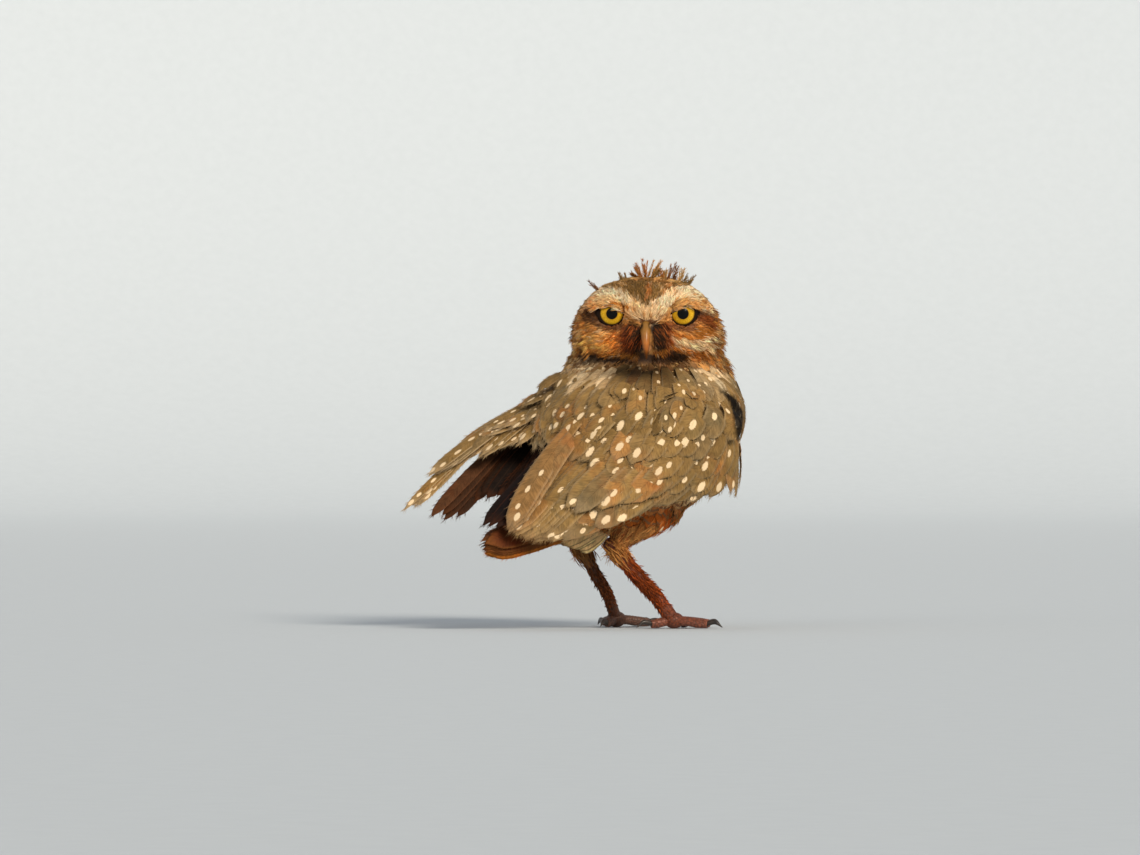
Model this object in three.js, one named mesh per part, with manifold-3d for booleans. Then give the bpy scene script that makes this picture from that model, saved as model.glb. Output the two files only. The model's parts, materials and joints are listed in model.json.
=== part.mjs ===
// A life-size burrowing owl standing on both feet, its head turned right round to look back over its
// right shoulder, its left wing hanging loose. Millimetres, +Z up. The owl faces -Y, so its left side
// is +X. Each named mesh is one closed body, and neighbours meet face to face with a small gap.
import * as THREE from "three";
import { mergeVertices } from "three/addons/utils/BufferGeometryUtils.js";
import Module from "manifold-3d";

const wasm = await Module();
wasm.setup();

// Driving dimensions
const GAP = 0.3; // kept between neighbouring bodies
const LEFT = 1; // sides, as the sign of X
const RIGHT = -1;
const HEAD_CENTRE = [0, 4.8, 147]; // outward, forward, up
const HEAD_TURN = 135; // degrees, clockwise seen from above, from straight ahead
const EYE_APART = 17; // from the face's midline to each eye's centre
const EYE_HEIGHT = 4; // above the head's centre
const EYE_DEPTH = 14.5; // of the eyeball's centre, in front of the head's centre
const EYE_RADIUS = 8;
const IRIS_RADIUS = 6; // what shows between the lids
const LID_THICKNESS = 1.1;
const LID_TOP = 2.4; // of the upper lid's edge over the eye's centre, level on its outer half
const LID_SLANT = THREE.MathUtils.degToRad(30); // of the lid's inner half, down towards the bill
const BROW_HEIGHT = 3;
const BROW_OUTER = [29, 11]; // its ends: away from the face's midline, and up
const BROW_INNER = [4, 1.5];
const HOLLOW_DEPTH = 4; // of the hollow that each eye lies in
const BILL_LENGTH = 17;
const BILL_ROOT_HEIGHT = 2.5; // of the raised place that the bill grows from
const NOSTRIL_RADIUS = 1;
const TOE_RADIUS = 2.4;
const TOE_CENTRE = 1.9; // height of a toe's middle line; its underside is cut flat at the floor
const CLAW_LENGTH = 8;
const VANE_THICKNESS = 0.5;
const TILE_TILT = THREE.MathUtils.degToRad(12); // of each feather in a row, as tiles lie

// Sections from the bottom up: height, middle, half width, half depth. The trunk's heights are from the
// floor and its middle lies backwards. The neck's and the head's are from the head's centre, and their
// middle lies towards the face.
const TRUNK_SECTIONS = [
  [46, 16, 10, 12],
  [49.5, 15.5, 20, 22],
  [55, 16, 28, 32],
  [63, 13, 36.5, 42],
  [73, 7.5, 42, 47],
  [83, 1, 44, 46],
  [93, -4, 44, 43.5],
  [103, -7.5, 43.5, 41.5],
  [112, -9, 41.5, 39],
  [118, -9, 37, 34.5],
  [121, -8.5, 30, 28],
];
const NECK_SECTIONS = [
  [-37, -2, 44.5, 42.5],
  [-32, -2.5, 44.2, 39.5],
  [-27, -5, 42.5, 34],
  [-20, -7, 39.5, 28.5],
  [-16, -6.5, 38, 27.5],
  [-13.5, -5, 35, 26],
];
const HEAD_SECTIONS = [
  [-25, 0, 10, 9],
  [-22.5, 0.5, 21, 18],
  [-17, 0.5, 31.5, 26],
  [-10, 0, 36, 29.5],
  [-2, -0.5, 35.8, 30.5],
  [6, -1, 33.4, 30],
  [13, -2, 28, 26.5],
  [18.5, -3, 21, 21],
  [22, -3.5, 10, 11],
];

// Half width and half thickness along a feather, by the share of its length.
const BROAD = [
  [0, 0.45],
  [0.5, 1],
  [0.86, 0.88],
  [1, 0.3],
];
const LONG = [
  [0, 0.5],
  [0.5, 1],
  [0.86, 0.82],
  [1, 0.22],
];

// The rows of feathers of each wing. A row's roots and tips run along smooth lines of points, each
// outward, forward and up, and its feathers face out along directions given for the row's two ends.
const RIGHT_ROWS = {
  primaries: {
    count: 5,
    roots: [[43, 6, 76], [42, -4, 75], [40, -14, 77]],
    tips: [[22, -78, 43], [14, -90, 44], [4, -104, 47]],
    faces: [[0.9, -0.3, 0.1], [0.5, -0.5, 0.7]],
    halfWidth: 6,
    shape: LONG,
    clear: 2,
    bow: 2,
  },
  secondaries: {
    count: 8,
    roots: [[46, 10, 82], [44, -8, 84], [38, -24, 90]],
    tips: [[47, -18, 62], [42, -38, 60], [34, -60, 51], [25, -76, 43], [17, -86, 42]],
    faces: [[1, -0.3, 0.1], [0.6, -0.6, 0.5]],
    halfWidth: 8,
    clear: 4,
    bow: 4,
  },
  tertials: {
    count: 5,
    roots: [[34, -20, 100], [22, -26, 102], [10, -28, 104]],
    tips: [[15, -87, 43], [9, -94, 45], [3, -101, 48]],
    faces: [[0.6, -0.5, 0.6], [0.3, -0.6, 0.7]],
    halfWidth: 7,
    clear: 6,
    bow: 2,
  },
  coverts: {
    count: 6,
    roots: [[44, 16, 98], [43, -6, 100], [34, -20, 104]],
    tips: [[50, 8, 66], [50, -14, 69], [45, -36, 70], [36, -54, 69], [25, -66, 72]],
    faces: [[1, 0, 0.1], [0.6, -0.6, 0.5]],
    halfWidth: 8,
    clear: 9,
    bow: 4,
  },
  marginal: {
    count: 3,
    roots: [[38, 28, 96], [42, 16, 101]],
    tips: [[43, 26, 66], [50, 12, 64]],
    faces: [[0.7, 0.7, 0], [1, 0.2, 0]],
    halfWidth: 7,
    clear: 7,
    bow: 3,
  },
  scapulars: {
    count: 5,
    roots: [[36, 14, 110], [26, -12, 112], [6, -24, 110]],
    tips: [[50, -2, 88], [47, -26, 88], [32, -46, 87], [14, -57, 86], [-1, -60, 86]],
    faces: [[0.9, 0, 0.5], [0, -0.6, 0.8]],
    halfWidth: 9,
    clear: 11,
    bow: 3,
  },
};
const LEFT_ROWS = {
  primaries: {
    count: 6,
    roots: [[53, -30, 96], [50, -28, 93], [45, -26, 92]],
    tips: [[60, -82, 52], [56, -75, 53], [50, -65, 60], [43, -59, 63]],
    faces: [[-0.4, -0.8, 0.4], [-0.6, -0.8, 0.2]],
    halfWidth: 5.5,
    shape: LONG,
    clear: 2,
    bow: 1,
  },
  secondaries: {
    count: 5,
    roots: [[42, -26, 92], [34, -28, 94], [26, -30, 95]],
    tips: [[38, -57, 64], [28, -58, 64], [16, -60, 68]],
    faces: [[-0.5, -0.8, 0.3], [-0.2, -0.9, 0.4]],
    halfWidth: 6.5,
    clear: 2,
    bow: 1,
  },
  long: {
    count: 3,
    roots: [[50, -30, 104], [52, -34, 100]],
    tips: [[64, -96, 56], [61, -86, 61]],
    faces: [[-0.4, -0.6, 0.7], [-0.4, -0.6, 0.7]],
    halfWidth: 5,
    shape: LONG,
    clear: 6,
    bow: 2,
  },
  coverts: {
    count: 6,
    roots: [[46, -16, 110], [32, -16, 112], [14, -14, 114]],
    tips: [[58, -80, 67], [52, -67, 75], [43, -57, 85], [30, -52, 89], [12, -52, 88]],
    faces: [[-0.2, -0.6, 0.8], [-0.1, -0.6, 0.8]],
    halfWidth: 8,
    clear: 7,
    bow: 2,
  },
  marginal: {
    count: 4,
    roots: [[42, 24, 100], [46, 8, 104], [47, -10, 108]],
    tips: [[50, 4, 80], [57, -14, 84], [61, -40, 88]],
    faces: [[1, 0.1, 0.3], [1, -0.1, 0.4]],
    halfWidth: 8,
    clear: 5,
    bow: 4,
  },
  scapulars: {
    count: 4,
    roots: [[40, 2, 111], [30, -14, 112], [17, -22, 111]],
    tips: [[53, -40, 97], [43, -44, 99], [30, -46, 99], [16, -48, 97]],
    faces: [[0.4, -0.3, 0.9], [0, -0.5, 0.9]],
    halfWidth: 9,
    clear: 11,
    bow: 3,
  },
};

// Tail
const TAIL_FEATHERS = 12;
const TAIL_ROOT = [0, -50, 56];
const TAIL_LENGTH = 48;
const TAIL_DROP = THREE.MathUtils.degToRad(19);
const TAIL_SWING = THREE.MathUtils.degToRad(3); // towards the left
const TAIL_FAN = THREE.MathUtils.degToRad(11); // either side of its middle
const TAIL_TENT = THREE.MathUtils.degToRad(32); // slope of the outer feathers' faces
const TAIL_SPREAD = 13; // from the middle feathers to the outer ones, at the root
const TAIL_COVERTS = {
  above: {
    count: 4,
    roots: [[-8, -46, 62], [0, -46, 64], [8, -46, 62]],
    tips: [[-12, -76, 55], [2, -80, 60], [16, -76, 55]],
    faces: [[-0.5, -0.2, 0.9], [0.5, -0.2, 0.9]],
    halfWidth: 5.5,
    clear: 1,
    bow: 2,
  },
  below: {
    count: 4,
    roots: [[-9, -44, 50], [0, -42, 47], [9, -44, 50]],
    tips: [[-12, -72, 41], [0, -80, 37], [13, -72, 41]],
    faces: [[-0.5, 0, -0.9], [0.5, 0, -0.9]],
    halfWidth: 6,
    clear: 1,
    bow: 1,
  },
};

// Legs: outward, forward, up
const KNEE = [19, -1, 64];
const HEEL = [11, -31, 40.5];
const TARSUS_LINE = [
  [10.6, -32, 42],
  [14, -15, 24.5],
  [15.8, -7, 17],
  [18.6, 1.6, 6],
];
const FOOT = [19.5, 3.5];
const TOES = {
  inner: { degrees: -25, reach: 17 },
  middle: { degrees: 8, reach: 21 },
  outer: { degrees: 66, reach: 17 },
  hind: { degrees: 202, reach: 12 },
};

// Wisps that the wind lifts off the crown: place across, height and place out of the face, then how far
// the tip lies from the root in the same three directions.
const WISPS = [
  [-3, 21, -4, -3, 12, 0],
  [-1, 21, -8, 1, 12, -3],
  [2, 21, -3, 4, 9, 0],
  [6, 20.5, -7, 3, 9, -2],
  [11, 18.5, -5, 4, 12, 0],
  [14, 17, -9, 5, 11, -2],
  [16, 16, -3, 7, 9, 0],
  [-17, 15.5, -2, -8, 7, -1],
  [9, 19, -11, 6, 10, -4],
];

// A seeded source of numbers from 0 to 1, so that feathers vary alike in every build.
function seeded(seed) {
  let state = seed;
  return () => {
    state = (state * 1664525 + 1013904223) % 4294967296;
    return state / 4294967296;
  };
}

// A point by its distance outward on one side, forward and up.
function at(side, outward, forward, up) {
  return new THREE.Vector3(side * outward, -forward, up);
}

// A point of the head by its place on the face: right as one looks at it, up, and out of the face.
const UP = new THREE.Vector3(0, 0, 1);
const faceOut = new THREE.Vector3(0, -1, 0).applyAxisAngle(UP, THREE.MathUtils.degToRad(-HEAD_TURN));
const faceAcross = UP.clone().cross(faceOut);
const headFrame = new THREE.Matrix4()
  .makeBasis(faceAcross, UP, faceOut)
  .setPosition(at(LEFT, ...HEAD_CENTRE));

function onHead(across, up, out) {
  return new THREE.Vector3(across, up, out).applyMatrix4(headFrame);
}

// A closed body from a geometry, turned right side out.
function solid(geometry) {
  const bare = new THREE.BufferGeometry().setAttribute(
    "position",
    (geometry.index ? geometry.toNonIndexed() : geometry).getAttribute("position"),
  );
  const merged = mergeVertices(bare, 1e-3);
  const vertProperties = new Float32Array(merged.attributes.position.array);
  const triVerts = new Uint32Array(merged.index.array);
  const made = new wasm.Manifold(new wasm.Mesh({ numProp: 3, vertProperties, triVerts }));
  if (made.volume() > 0) return made;
  for (let i = 0; i < triVerts.length; i += 3) {
    [triVerts[i + 1], triVerts[i + 2]] = [triVerts[i + 2], triVerts[i + 1]];
  }
  return new wasm.Manifold(new wasm.Mesh({ numProp: 3, vertProperties, triVerts }));
}

function geometryOf(whole) {
  const { vertProperties, triVerts } = whole.getMesh();
  return new THREE.BufferGeometry()
    .setAttribute("position", new THREE.BufferAttribute(vertProperties, 3))
    .setIndex(new THREE.BufferAttribute(triVerts, 1));
}

function join(solids) {
  return solids.reduce((whole, piece) => whole.add(piece));
}

function cut(whole, cutters) {
  return cutters.reduce((left, cutter) => left.subtract(cutter), whole);
}

function meshOf(name, whole, material) {
  const largest = whole.decompose().reduce((a, b) => (a.volume() > b.volume() ? a : b));
  const geometry = geometryOf(largest);
  geometry.computeVertexNormals();
  const mesh = new THREE.Mesh(geometry, material);
  mesh.name = name;
  return mesh;
}

// A smooth run of values through the rows of a table, at a share of its length.
function through(rows) {
  const columns = rows[0].map(
    (_, c) => new THREE.CatmullRomCurve3(rows.map((row) => new THREE.Vector3(row[c], 0, 0))),
  );
  return (share) => columns.map((column) => column.getPoint(share).x);
}

// A closed skin over rings of points, each ring with as many points, its ends closed to their middles.
function skin(rings) {
  const around = rings[0].length;
  const points = rings.flat();
  const faces = [];
  for (let r = 0; r + 1 < rings.length; r++) {
    for (let k = 0; k < around; k++) {
      const a = r * around + k;
      const b = r * around + ((k + 1) % around);
      faces.push(a, b, b + around, a, b + around, a + around);
    }
  }
  for (const ring of [0, rings.length - 1]) {
    const middle = new THREE.Vector3();
    rings[ring].forEach((p) => middle.addScaledVector(p, 1 / around));
    points.push(middle);
    for (let k = 0; k < around; k++) {
      const a = ring * around + k;
      const b = ring * around + ((k + 1) % around);
      faces.push(...(ring === 0 ? [b, a] : [a, b]), points.length - 1);
    }
  }
  return new THREE.BufferGeometry().setFromPoints(points).setIndex(faces);
}

// Oval sections stacked up. The place function turns across, middle line and height into a point.
function stack(sections, { place, around, steps, grow = 0, lean = (turn) => turn }) {
  const section = through(sections);
  const rings = [];
  for (let i = 0; i <= steps; i++) {
    const [up, middle, halfWidth, halfDepth] = section(i / steps);
    const lift = i === 0 ? -grow : i === steps ? grow : 0;
    rings.push(
      Array.from({ length: around }, (_, k) => {
        const turn = lean((k / around) * 2 * Math.PI);
        const across = (halfWidth + grow) * Math.cos(turn);
        return place(across, middle + (halfDepth + grow) * Math.sin(turn), up + lift);
      }),
    );
  }
  return solid(skin(rings));
}

// A limb: rounded sections along a smooth line, with a half width and a half thickness at each point.
function limb(points, sizes, { sides = 10, steps = 8, wide = new THREE.Vector3(1, 0, 0), grow = 0 }) {
  const line = new THREE.CatmullRomCurve3(points);
  const size = through(sizes);
  const rings = [];
  for (let i = 0; i <= steps; i++) {
    const share = i / steps;
    const along = line.getTangent(share);
    const across = wide.clone().addScaledVector(along, -wide.dot(along)).normalize();
    const other = along.clone().cross(across);
    const [halfWidth, halfThick] = size(share);
    const middle = line.getPoint(share);
    if (i === 0) middle.addScaledVector(along, -grow);
    if (i === steps) middle.addScaledVector(along, grow);
    rings.push(
      Array.from({ length: sides }, (_, k) => {
        const turn = (k / sides) * 2 * Math.PI;
        return middle
          .clone()
          .addScaledVector(across, (halfWidth + grow) * Math.cos(turn))
          .addScaledVector(other, (halfThick + grow) * Math.sin(turn));
      }),
    );
  }
  return solid(skin(rings));
}

function ball(middle, radii, turnX = 0, around = 14, down = 9) {
  const geometry = new THREE.SphereGeometry(1, around, down);
  geometry.scale(...radii);
  geometry.rotateX(turnX);
  geometry.translate(middle.x, middle.y, middle.z);
  return solid(geometry);
}

// Trunk
function trunk(grow = 0) {
  const place = (across, back, up) => new THREE.Vector3(across, back, up);
  return stack(TRUNK_SECTIONS, { place, around: 22, steps: 9, grow });
}

const trunkSection = through(TRUNK_SECTIONS);

// The trunk's section at a height, found by halving.
function trunkAt(up) {
  let [low, high] = [0, 1];
  for (let i = 0; i < 14; i++) {
    const middle = (low + high) / 2;
    if (trunkSection(middle)[0] < up) low = middle;
    else high = middle;
  }
  return trunkSection(low);
}

// Moves a point level, straight out, until it lies a given margin outside the trunk.
function clearOfTrunk(point, margin) {
  if (point.z > TRUNK_SECTIONS.at(-1)[0] || point.z < TRUNK_SECTIONS[0][0]) return point;
  const [, back, halfWidth, halfDepth] = trunkAt(point.z);
  const share = Math.hypot(point.x / (halfWidth + margin), (point.y - back) / (halfDepth + margin));
  if (share >= 1 || share === 0) return point;
  return new THREE.Vector3(point.x / share, back + (point.y - back) / share, point.z);
}

// Neck
function neck(grow = 0) {
  const place = (across, out, up) => onHead(across, up, out);
  return stack(NECK_SECTIONS, { place, around: 22, steps: 5, grow });
}

// Head, with hollows round the eyes, brows that run down to the bill, and a raised root for the bill.
function fromLine(u, v, [u0, v0], [u1, v1]) {
  const [du, dv] = [u1 - u0, v1 - v0];
  const along = ((u - u0) * du + (v - v0) * dv) / (du ** 2 + dv ** 2);
  const share = THREE.MathUtils.clamp(along, 0, 1);
  return Math.hypot(u - u0 - share * du, v - v0 - share * dv);
}

function faceRelief(across, up, out) {
  const u = Math.abs(across);
  const front = THREE.MathUtils.smoothstep(out, 4, 16);
  const flat = -0.35 * Math.max(0, out - 21);
  const hollow = -HOLLOW_DEPTH * Math.exp(-(((u - EYE_APART) / 8.5) ** 2) - ((up - EYE_HEIGHT + 1) / 7) ** 2);
  const brow = BROW_HEIGHT * Math.exp(-((fromLine(u, up, BROW_OUTER, BROW_INNER) / 3.5) ** 2));
  const root = BILL_ROOT_HEIGHT * Math.exp(-((u / 5) ** 2) - ((up + 4) / 7) ** 2);
  return front * (flat + hollow + brow + root);
}

function head(grow = 0) {
  const place = (across, out, up) => onHead(across, up, out + faceRelief(across, up, out));
  // More points lie in front, on the face, than behind.
  const lean = (turn) => turn + (Math.sin(turn) > 0 ? -0.3 : 0.1) * Math.sin(2 * turn);
  return stack(HEAD_SECTIONS, { place, around: 26, steps: 13, grow, lean });
}

// Eyes, the lids round them, and the opening between the lids, which the brow cuts off at a slant.
function eyeBall(side, radius, around, down) {
  const geometry = new THREE.SphereGeometry(radius, around, down);
  geometry.translate(...onHead(side * EYE_APART, EYE_HEIGHT, EYE_DEPTH).toArray());
  return solid(geometry);
}

function lidOpening(side) {
  const reach = 20;
  const round = new THREE.CylinderGeometry(IRIS_RADIUS + 0.2, IRIS_RADIUS + 0.2, reach, 14);
  round.rotateX(Math.PI / 2);
  round.translate(0, 0, reach / 2 + 2);
  const above = [0, side * LID_SLANT].map((slant) => {
    const box = new THREE.BoxGeometry(6 * IRIS_RADIUS, 2 * IRIS_RADIUS, 2 * reach);
    box.translate(0, IRIS_RADIUS, reach / 2);
    box.rotateZ(slant);
    box.translate(0, LID_TOP, 0);
    return solid(box);
  });
  const geometry = geometryOf(cut(solid(round), above));
  geometry.translate(side * EYE_APART, EYE_HEIGHT, EYE_DEPTH);
  geometry.applyMatrix4(headFrame);
  return solid(geometry);
}

function wisp([across, up, out, sideways, rise, forth]) {
  const from = [across, up - 2, out];
  const to = [across + sideways, up - 2 + rise, out + forth];
  const between = from.map((x, i) => (x + to[i]) / 2 + (i === 1 ? 0.8 : 0));
  const sizes = [
    [1.9, 1.2],
    [1.5, 0.8],
    [0.3, 0.25],
  ];
  return limb([onHead(...from), onHead(...between), onHead(...to)], sizes, {
    sides: 4,
    steps: 3,
    wide: faceAcross,
  });
}

// Bill
function billUpper(grow = 0) {
  const points = [
    onHead(0, -2, 20),
    onHead(0, -2.4, 27),
    onHead(0, -6.5, 31),
    onHead(0, -12.5, 32),
    onHead(0, -0.6 - BILL_LENGTH, 29.5),
  ];
  const sizes = [
    [4.2, 4.2],
    [3.6, 3.6],
    [3.2, 3],
    [2.4, 2],
    [0.5, 0.5],
  ];
  return limb(points, sizes, { sides: 10, steps: 7, wide: faceAcross, grow });
}

function nostrils() {
  return [-1, 1].map((side) => ball(onHead(side * 3.4, -3.2, 28), [1, 1, 1.3].map((r) => r * NOSTRIL_RADIUS), 0, 8, 6));
}

function billLower() {
  const points = [onHead(0, -11, 18), onHead(0, -12, 24.5), onHead(0, -14.6, 28.2)];
  const sizes = [
    [3.6, 2],
    [3, 1.7],
    [1, 0.7],
  ];
  return limb(points, sizes, { sides: 10, steps: 5, wide: faceAcross });
}

// One feather along a bent line, a thin tapering blade. Its two faces are split into triangles alike.
function vane(line, facing, halfWidth, tilt, shape) {
  const rings = shape.map(([share, width]) => {
    const along = line.getTangent(share);
    const out = facing.clone().addScaledVector(along, -facing.dot(along));
    out.normalize().applyAxisAngle(along, tilt);
    const across = along.clone().cross(out);
    const here = line.getPoint(share);
    const point = (sideways, off) =>
      here.clone().addScaledVector(across, sideways).addScaledVector(out, off);
    const [half, rim] = [width * halfWidth, VANE_THICKNESS / 2];
    return [point(-half, rim), point(half, rim), point(half, -rim), point(-half, -rim)];
  });
  const faces = [0, 3, 2, 0, 2, 1];
  const last = 4 * (rings.length - 1);
  faces.push(last, last + 1, last + 2, last, last + 2, last + 3);
  for (let from = 0; from < last; from += 4) {
    const to = from + 4;
    faces.push(from, from + 1, to + 1, from, to + 1, to);
    faces.push(from + 3, to + 3, to + 2, from + 3, to + 2, from + 2);
    faces.push(from + 1, from + 2, to + 2, from + 1, to + 2, to + 1);
    faces.push(from + 3, from, to, from + 3, to, to + 3);
  }
  return solid(new THREE.BufferGeometry().setFromPoints(rings.flat()).setIndex(faces));
}

// A row of feathers that overlap like tiles.
function row(side, { count, roots, tips, faces, halfWidth, shape = BROAD, clear, bow }, seed) {
  const random = seeded(seed);
  const rootLine = new THREE.CatmullRomCurve3(roots.map((p) => at(side, ...p)));
  const tipLine = new THREE.CatmullRomCurve3(tips.map((p) => at(side, ...p)));
  const [first, last] = faces.map((p) => at(side, ...p).normalize());
  return Array.from({ length: count }, (_, k) => {
    const share = k / (count - 1);
    const vary = 1 - 0.05 * random();
    const facing = first.clone().lerp(last, share).normalize();
    const root = rootLine.getPoint(share);
    const tip = clearOfTrunk(tipLine.getPoint(share), clear).lerp(root, 1 - vary);
    const middle = root.clone().lerp(tip, 0.5).addScaledVector(facing, bow);
    const line = new THREE.CatmullRomCurve3([root, clearOfTrunk(middle, clear), tip]);
    return vane(line, facing, halfWidth * vary, side * TILE_TILT, shape);
  });
}

// Wings: the flesh of each, which all its feathers grow from, then the rows.
function rightArm() {
  const shoulder = ball(at(RIGHT, 39, -3, 91), [11, 31, 24], 0.2);
  const cape = ball(at(RIGHT, 20, -19, 101), [17, 19, 12]);
  return shoulder.add(cape);
}

function leftArm() {
  const shoulder = ball(at(LEFT, 38, -2, 101), [12, 32, 16], -0.1);
  const forearm = limb(
    [at(LEFT, 44, -8, 104), at(LEFT, 50, -26, 101), at(LEFT, 54, -40, 94)],
    [[8, 7], [6, 5.5], [3, 2.5]],
    { steps: 5 },
  );
  const cape = ball(at(LEFT, 27, -19, 105), [17, 19, 9.5]);
  return join([shoulder, forearm, cape]);
}

function wing(side, arm, rows, cutters) {
  const feathers = Object.values(rows).flatMap((spec, i) => row(side, spec, 11 * (i + 1)));
  return cut(join([arm, ...feathers]), cutters);
}

// Tail: the middle feathers lie on top and level, the outer ones below and sloping like a tent.
function tail() {
  const pieces = [ball(at(LEFT, 0, -50, 56), [13, 14, 8], 0.2)];
  for (let k = 0; k < TAIL_FEATHERS; k++) {
    const place = (k / (TAIL_FEATHERS - 1)) * 2 - 1; // -1 at the right, 1 at the left
    const outer = Math.abs(place);
    const turn = TAIL_SWING + place * TAIL_FAN;
    const run = TAIL_LENGTH * (1 - 0.08 * outer);
    const sink = outer * TAIL_SPREAD * Math.tan(TAIL_TENT);
    const root = at(LEFT, place * 0.7 * TAIL_SPREAD, TAIL_ROOT[1], TAIL_ROOT[2] + 2 - 0.7 * sink);
    const tip = root.clone().add(
      new THREE.Vector3(
        Math.sin(turn) * run,
        Math.cos(turn) * Math.cos(TAIL_DROP) * run,
        -Math.sin(TAIL_DROP) * run - 0.5 * sink,
      ),
    );
    const facing = new THREE.Vector3(Math.sin(place * TAIL_TENT), 0.2, Math.cos(place * TAIL_TENT));
    const middle = root.clone().lerp(tip, 0.5).addScaledVector(facing, 1.5);
    const line = new THREE.CatmullRomCurve3([root, middle, tip]);
    pieces.push(vane(line, facing.normalize(), 6.5, -0.12 * Math.sign(place), LONG));
  }
  pieces.push(...row(LEFT, TAIL_COVERTS.above, 5), ...row(LEFT, TAIL_COVERTS.below, 7));
  return join(pieces);
}

// Legs
function thigh(side, grow = 0) {
  const points = [
    at(side, ...KNEE),
    at(side, KNEE[0], -14, 56),
    at(side, HEEL[0] + 2.5, HEEL[1] + 7, HEEL[2] + 6),
    at(side, HEEL[0] + 0.5, HEEL[1] + 1.5, HEEL[2] - 1),
  ];
  const sizes = [
    [14, 13],
    [12.5, 12],
    [8, 8.5],
    [4.8, 4.6],
  ];
  return limb(points, sizes, { sides: 12, steps: 6, grow });
}

function tarsus(side, grow = 0) {
  const points = TARSUS_LINE.map((p) => at(side, ...p));
  const sizes = [
    [3.4, 3.4],
    [3.3, 3.3],
    [3.2, 3.1],
    [3.6, 3.4],
  ];
  return limb(points, sizes, { sides: 8, steps: 6, grow });
}

// A point a given run along a toe, at a height.
function alongToe(side, { degrees }, run, up) {
  const turn = THREE.MathUtils.degToRad(degrees);
  return at(side, FOOT[0] + run * Math.sin(turn), FOOT[1] + run * Math.cos(turn), up);
}

function acrossToe(side, toe) {
  return alongToe(side, toe, 1, 0).sub(alongToe(side, toe, 0, 0)).cross(UP).normalize();
}

function foot(side, cutters) {
  const pieces = [ball(at(side, ...FOOT, 3.6), [4.8, 5.2, 4.2], 0, 10, 6)];
  for (const toe of Object.values(TOES)) {
    const points = [
      alongToe(side, toe, 0, 3.4),
      alongToe(side, toe, toe.reach * 0.35, 3.3),
      alongToe(side, toe, toe.reach * 0.7, TOE_CENTRE + 0.6),
      alongToe(side, toe, toe.reach, TOE_CENTRE),
    ];
    const sizes = [
      [3, 2.8],
      [TOE_RADIUS, TOE_RADIUS],
      [TOE_RADIUS, TOE_RADIUS],
      [TOE_RADIUS * 0.8, TOE_RADIUS * 0.85],
    ];
    pieces.push(limb(points, sizes, { sides: 6, steps: 3, wide: acrossToe(side, toe) }));
  }
  const floor = new THREE.BoxGeometry(200, 200, 20);
  floor.translate(0, 0, -10);
  return cut(join(pieces), [solid(floor), ...cutters]);
}

function claw(side, toe) {
  const start = toe.reach + 2 * GAP;
  const points = [
    alongToe(side, toe, start, TOE_CENTRE + 0.5),
    alongToe(side, toe, start + CLAW_LENGTH * 0.45, TOE_CENTRE + 1.2),
    alongToe(side, toe, start + CLAW_LENGTH * 0.95, 0.7),
  ];
  const sizes = [
    [1.1, 1.3],
    [0.9, 1.1],
    [0.28, 0.3],
  ];
  return limb(points, sizes, { sides: 5, steps: 3, wide: acrossToe(side, toe) });
}

// Materials
function matt(color) {
  return new THREE.MeshStandardMaterial({ color, roughness: 0.9, metalness: 0 });
}

const plumage = matt(0x7c6444);
const face = matt(0xa8845c);
const flight = matt(0x6a5334);
const belly = matt(0xb98a55);
const legs = matt(0x6b4a30);
const eyes = matt(0xd8b427);
const bill = matt(0xb98a4a);
const claws = matt(0x2a211c);

// Assembly
const owl = new THREE.Group();
const parts = {
  torso: [trunk(), belly],
  neck: [cut(neck(), [trunk(GAP), head(GAP)]), plumage],
  bill_upper: [cut(billUpper(), [head(GAP), ...nostrils()]), bill],
  bill_lower: [cut(billLower(), [head(GAP), billUpper(GAP)]), bill],
  wing_right: [wing(RIGHT, rightArm(), RIGHT_ROWS, [trunk(GAP), neck(GAP)]), flight],
  wing_left: [wing(LEFT, leftArm(), LEFT_ROWS, [trunk(GAP), neck(GAP)]), flight],
  tail: [cut(tail(), [trunk(GAP)]), flight],
};

let headSolid = cut(head(), [trunk(GAP)]);
for (const side of [LEFT, RIGHT]) {
  headSolid = headSolid.add(eyeBall(side, EYE_RADIUS + GAP + LID_THICKNESS, 14, 9));
}
headSolid = join([headSolid, ...WISPS.map(wisp)]);

for (const [side, name] of [
  [LEFT, "left"],
  [RIGHT, "right"],
]) {
  headSolid = cut(headSolid, [eyeBall(side, EYE_RADIUS + GAP, 14, 9), lidOpening(side)]);
  parts["eye_" + name] = [eyeBall(side, EYE_RADIUS, 14, 9), eyes];
  parts["thigh_" + name] = [cut(thigh(side), [trunk(GAP)]), belly];
  parts["tarsus_" + name] = [cut(tarsus(side), [trunk(GAP), thigh(side, GAP)]), legs];
  parts["foot_" + name] = [foot(side, [tarsus(side, GAP)]), legs];
  for (const [toeName, toe] of Object.entries(TOES)) {
    parts["claw_" + name + "_" + toeName] = [claw(side, toe), claws];
  }
}
parts.head = [headSolid, face];

for (const [name, [whole, material]] of Object.entries(parts)) {
  owl.add(meshOf(name, whole, material.clone()));
}

// The origin is on the floor, under the middle of the whole bird.
const middle = new THREE.Box3().setFromObject(owl).getCenter(new THREE.Vector3());
owl.position.set(-middle.x, -middle.y, 0);

export default owl;
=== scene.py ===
import itertools
import json
import math

import bpy
import numpy as np
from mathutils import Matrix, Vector
from mathutils.bvhtree import BVHTree

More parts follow.
